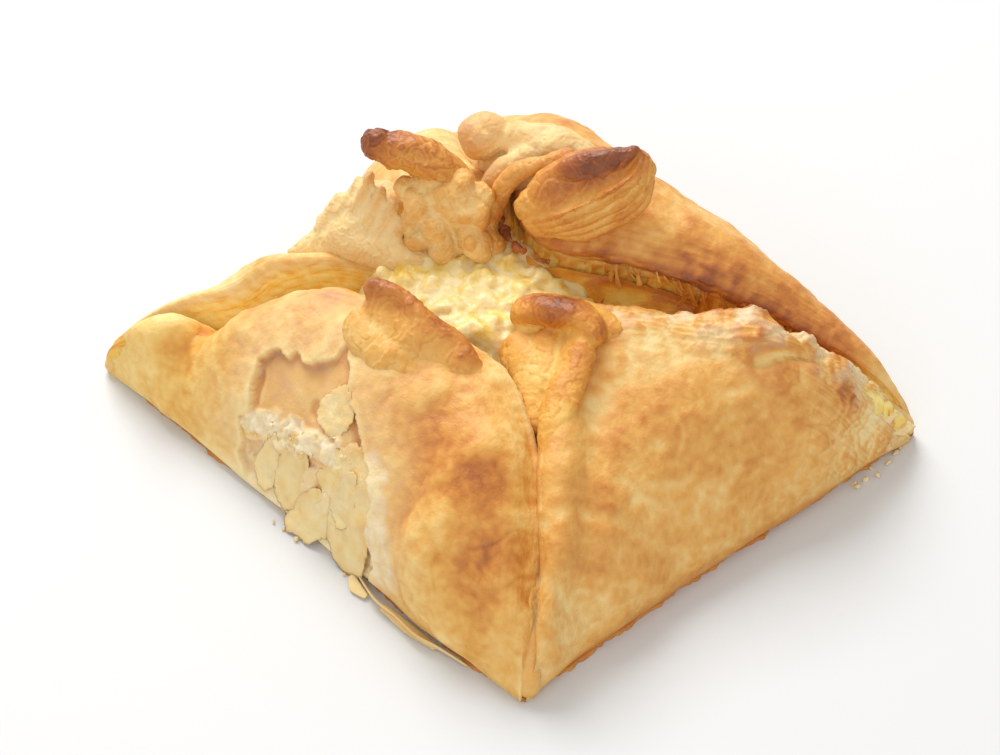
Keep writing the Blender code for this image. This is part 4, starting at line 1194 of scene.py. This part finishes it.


# %% [markdown]
# ** Egg-washed laminated dough.** The wash gives the golden skin a faint satin gloss, butter
# makes the sheets under it amber and slightly see-through, and bare crumb is dry and nearly
# white. Browning, butter and crumb come from the numbers stored on the mesh. Part of the
# browning and of the butter is painted shade: in the gaps of the torn place, in a crevice
# under the far flap's petal, and on two places where the window light falls strongly. The
# freckles and the fine wrinkles of the skin are noise at 0.4 to 2.5 mm.

# %% Crust finish
def baked_crust():
    made, tree, shader = new_finish("egg_washed_puff_pastry")
    place = add_node(tree, "ShaderNodeTexCoord").outputs["Object"]
    browning = add_node(tree, "ShaderNodeAttribute", {"attribute_name": "browning"}).outputs["Fac"]
    butter_and_shade = add_node(tree, "ShaderNodeAttribute", {"attribute_name": "butter_and_shade"}).outputs["Fac"]
    crumb = add_node(tree, "ShaderNodeAttribute", {"attribute_name": "crumb"}).outputs["Fac"]
    freckles = add_node(tree, "ShaderNodeTexNoise", Vector=place, Scale=1 / 0.0016, Detail=4.0, Roughness=0.65)
    mottle = add_node(tree, "ShaderNodeTexNoise", Vector=place, Scale=1 / 0.0065, Detail=3.0)
    uneven_heat = add_node(
        tree, "ShaderNodeMath", {"operation": "MULTIPLY_ADD"}, i0=freckles.outputs["Fac"], i1=0.16, i2=-0.08
    )
    uneven_glow = add_node(
        tree, "ShaderNodeMath", {"operation": "MULTIPLY_ADD"}, i0=mottle.outputs["Fac"], i1=0.22, i2=-0.11
    )
    heat = add_node(
        tree, "ShaderNodeMath", {"operation": "ADD"}, i0=uneven_heat.outputs[0], i1=uneven_glow.outputs[0]
    )
    heat = add_node(tree, "ShaderNodeMath", {"operation": "ADD"}, i0=heat.outputs[0], i1=browning)
    golden = ramp(
        tree,
        heat.outputs[0],
        [(0.0, "F1DDA6"), (0.22, "EBC781"), (0.42, "DEA552"), (0.6, "C98035"), (0.78, "9E5626"), (1.0, "54291B")],
    )
    amber = ramp(tree, heat.outputs[0], [(0.08, "F8DE88"), (0.30, "F0C254"), (0.5, "E29C2C"), (0.68, "C4721A"), (0.9, "7A3614")])
    white = ramp(tree, freckles.outputs["Fac"], [(0.3, "E3C98F"), (0.65, "F2E8CC")])
    # The amber mixed in by the butter number is butter's colour, and in the torn place's gaps and the crevice under the
    # petal it is painted shade.
    mixed = add_node(tree, "ShaderNodeMix", {"data_type": "RGBA"}, i0=butter_and_shade, i6=golden, i7=amber)
    mixed = add_node(tree, "ShaderNodeMix", {"data_type": "RGBA"}, i0=crumb, i6=mixed.outputs[2], i7=white)
    tree.links.new(mixed.outputs[2], shader.inputs["Base Color"])
    wrinkles = add_node(tree, "ShaderNodeTexNoise", Vector=place, Scale=1 / 0.0024, Detail=6.0, Roughness=0.6)
    grain = add_node(tree, "ShaderNodeTexNoise", Vector=place, Scale=1 / 0.0006, Detail=2.0)
    soft = add_node(
        tree, "ShaderNodeBump", Strength=0.6, Distance=0.0005, Height=wrinkles.outputs["Fac"]
    )
    rough = add_node(
        tree, "ShaderNodeBump", Strength=0.35, Distance=0.00015, Height=grain.outputs["Fac"],
        Normal=soft.outputs["Normal"],
    )
    tree.links.new(rough.outputs["Normal"], shader.inputs["Normal"])
    gloss = add_node(
        tree, "ShaderNodeMapRange", i0=heat.outputs[0], i1=0.1, i2=0.8, i3=0.62, i4=0.42
    )
    tree.links.new(gloss.outputs[0], shader.inputs["Roughness"])
    shader.inputs["IOR"].default_value = 1.45
    shader.inputs["Subsurface Weight"].default_value = 0.12
    shader.inputs["Subsurface Radius"].default_value = (1.0, 0.55, 0.25)
    shader.inputs["Subsurface Scale"].default_value = 0.0015
    return made


crust = baked_crust()

# %% [markdown]
# **Curd cheese.** Cooked curd is pale yellow, moist and slightly see-through, with stronger
# yellow where egg and butter have run between the grains.

# %% Cheese finish
def curd_finish():
    made, tree, shader = new_finish("baked_curd_cheese")
    place = add_node(tree, "ShaderNodeTexCoord").outputs["Object"]
    clots = add_node(tree, "ShaderNodeTexNoise", Vector=place, Scale=1 / 0.004, Detail=4.0, Roughness=0.6)
    grain = add_node(tree, "ShaderNodeTexNoise", Vector=place, Scale=1 / 0.0007, Detail=3.0)
    yellow = ramp(
        tree, clots.outputs["Fac"], [(0.32, "E4B436"), (0.43, "EDD078"), (0.57, "F0DDA6"), (0.70, "EDCA4E")]
    )
    tree.links.new(yellow, shader.inputs["Base Color"])
    bump = add_node(tree, "ShaderNodeBump", Strength=0.5, Distance=0.0003, Height=grain.outputs["Fac"])
    tree.links.new(bump.outputs["Normal"], shader.inputs["Normal"])
    shader.inputs["Roughness"].default_value = 0.42
    shader.inputs["Subsurface Weight"].default_value = 0.3
    shader.inputs["Subsurface Radius"].default_value = (1.0, 0.8, 0.4)
    shader.inputs["Subsurface Scale"].default_value = 0.002
    return made


cheese.data.materials.append(curd_finish())
for piece in [*flaps.values(), *tips, *inner, *loose]:
    piece.data.materials.append(crust)

# %% [markdown]
# The plan's zero is a little below the table, so the lowest few millimetres are pressed up
# until everything rests on it.

# %% Down on the table
for piece in [*flaps.values(), *tips, *inner, *loose, cheese]:
    points = points_of(piece)
    points[:, 2] = np.maximum(points[:, 2] + 0.4 * np.clip(1 - points[:, 2] / 5, 0, 1), 0.4)
    move_points(piece, points)

# %% [markdown]
# ## Table, light and camera
#
# A plain pale table and one big soft light from behind on the left, as from a window, with
# weaker light all round. The camera stands where the picture was taken from, just under half a
# metre away and looking down at 46 degrees.

# %% Table
deselect()
bpy.ops.mesh.primitive_plane_add(size=4)
table = bpy.context.object
table.name = "table"
matt, tree, shader = new_finish("matt_white_table")
shader.inputs["Base Color"].default_value = colour("D6D6D5")
shader.inputs["Roughness"].default_value = 0.6
table.data.materials.append(matt)

# %% Light
def soft_light(name, place, size, power, tint="FFFFFF"):
    lamp = bpy.data.lights.new(name, "AREA")
    lamp.size, lamp.energy, lamp.color = size, power, colour(tint)[:3]
    holder = bpy.data.objects.new(name, lamp)
    bpy.context.scene.collection.objects.link(holder)
    holder.location = place
    holder.rotation_mode = "QUATERNION"
    holder.rotation_quaternion = (-Vector(place)).to_track_quat("-Z", "Y")


soft_light("window", (-0.55, 0.30, 0.70), 0.5, 8.0)
soft_light("front_fill", (0.5, -0.7, 0.45), 0.8, 2.2)
sky = bpy.data.worlds.new("studio")
bpy.context.scene.world = sky
sky.use_nodes = True
sky.node_tree.nodes["Background"].inputs["Color"].default_value = (1, 1, 1, 1)
sky.node_tree.nodes["Background"].inputs["Strength"].default_value = 0.70
bpy.context.scene.view_settings.view_transform = "Standard"

# %% Camera
STAND = (np.array([222.15, -205.7, 310.6]) + PLACE) * MM
AIM = np.array([0.001, 0.0, 0.007])
photo_up = Vector((-0.4202, 0.4914, 0.7629))
backward = Vector(STAND - AIM).normalized()
right = photo_up.cross(backward).normalized()
upward = backward.cross(right)
view = bpy.data.cameras.new("photo_view")
view.lens, view.sensor_width, view.clip_start = 104, 36, 0.01
camera = bpy.data.objects.new("photo_view", view)
bpy.context.scene.collection.objects.link(camera)
turned = Matrix((right, upward, backward)).transposed().to_4x4()
camera.matrix_world = Matrix.Translation(Vector(STAND)) @ turned
bpy.context.scene.camera = camera

# %% [markdown]
# ## Hand over
#
# Every piece rides on the part's one body, and the imported solids that the pieces stand for
# are hidden.

# %% Ride, replace and finish
for piece in [*flaps.values(), *tips, *inner, *loose]:
    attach(piece, "root")
    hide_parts("pastry")
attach(cheese, "root")
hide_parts("filling")
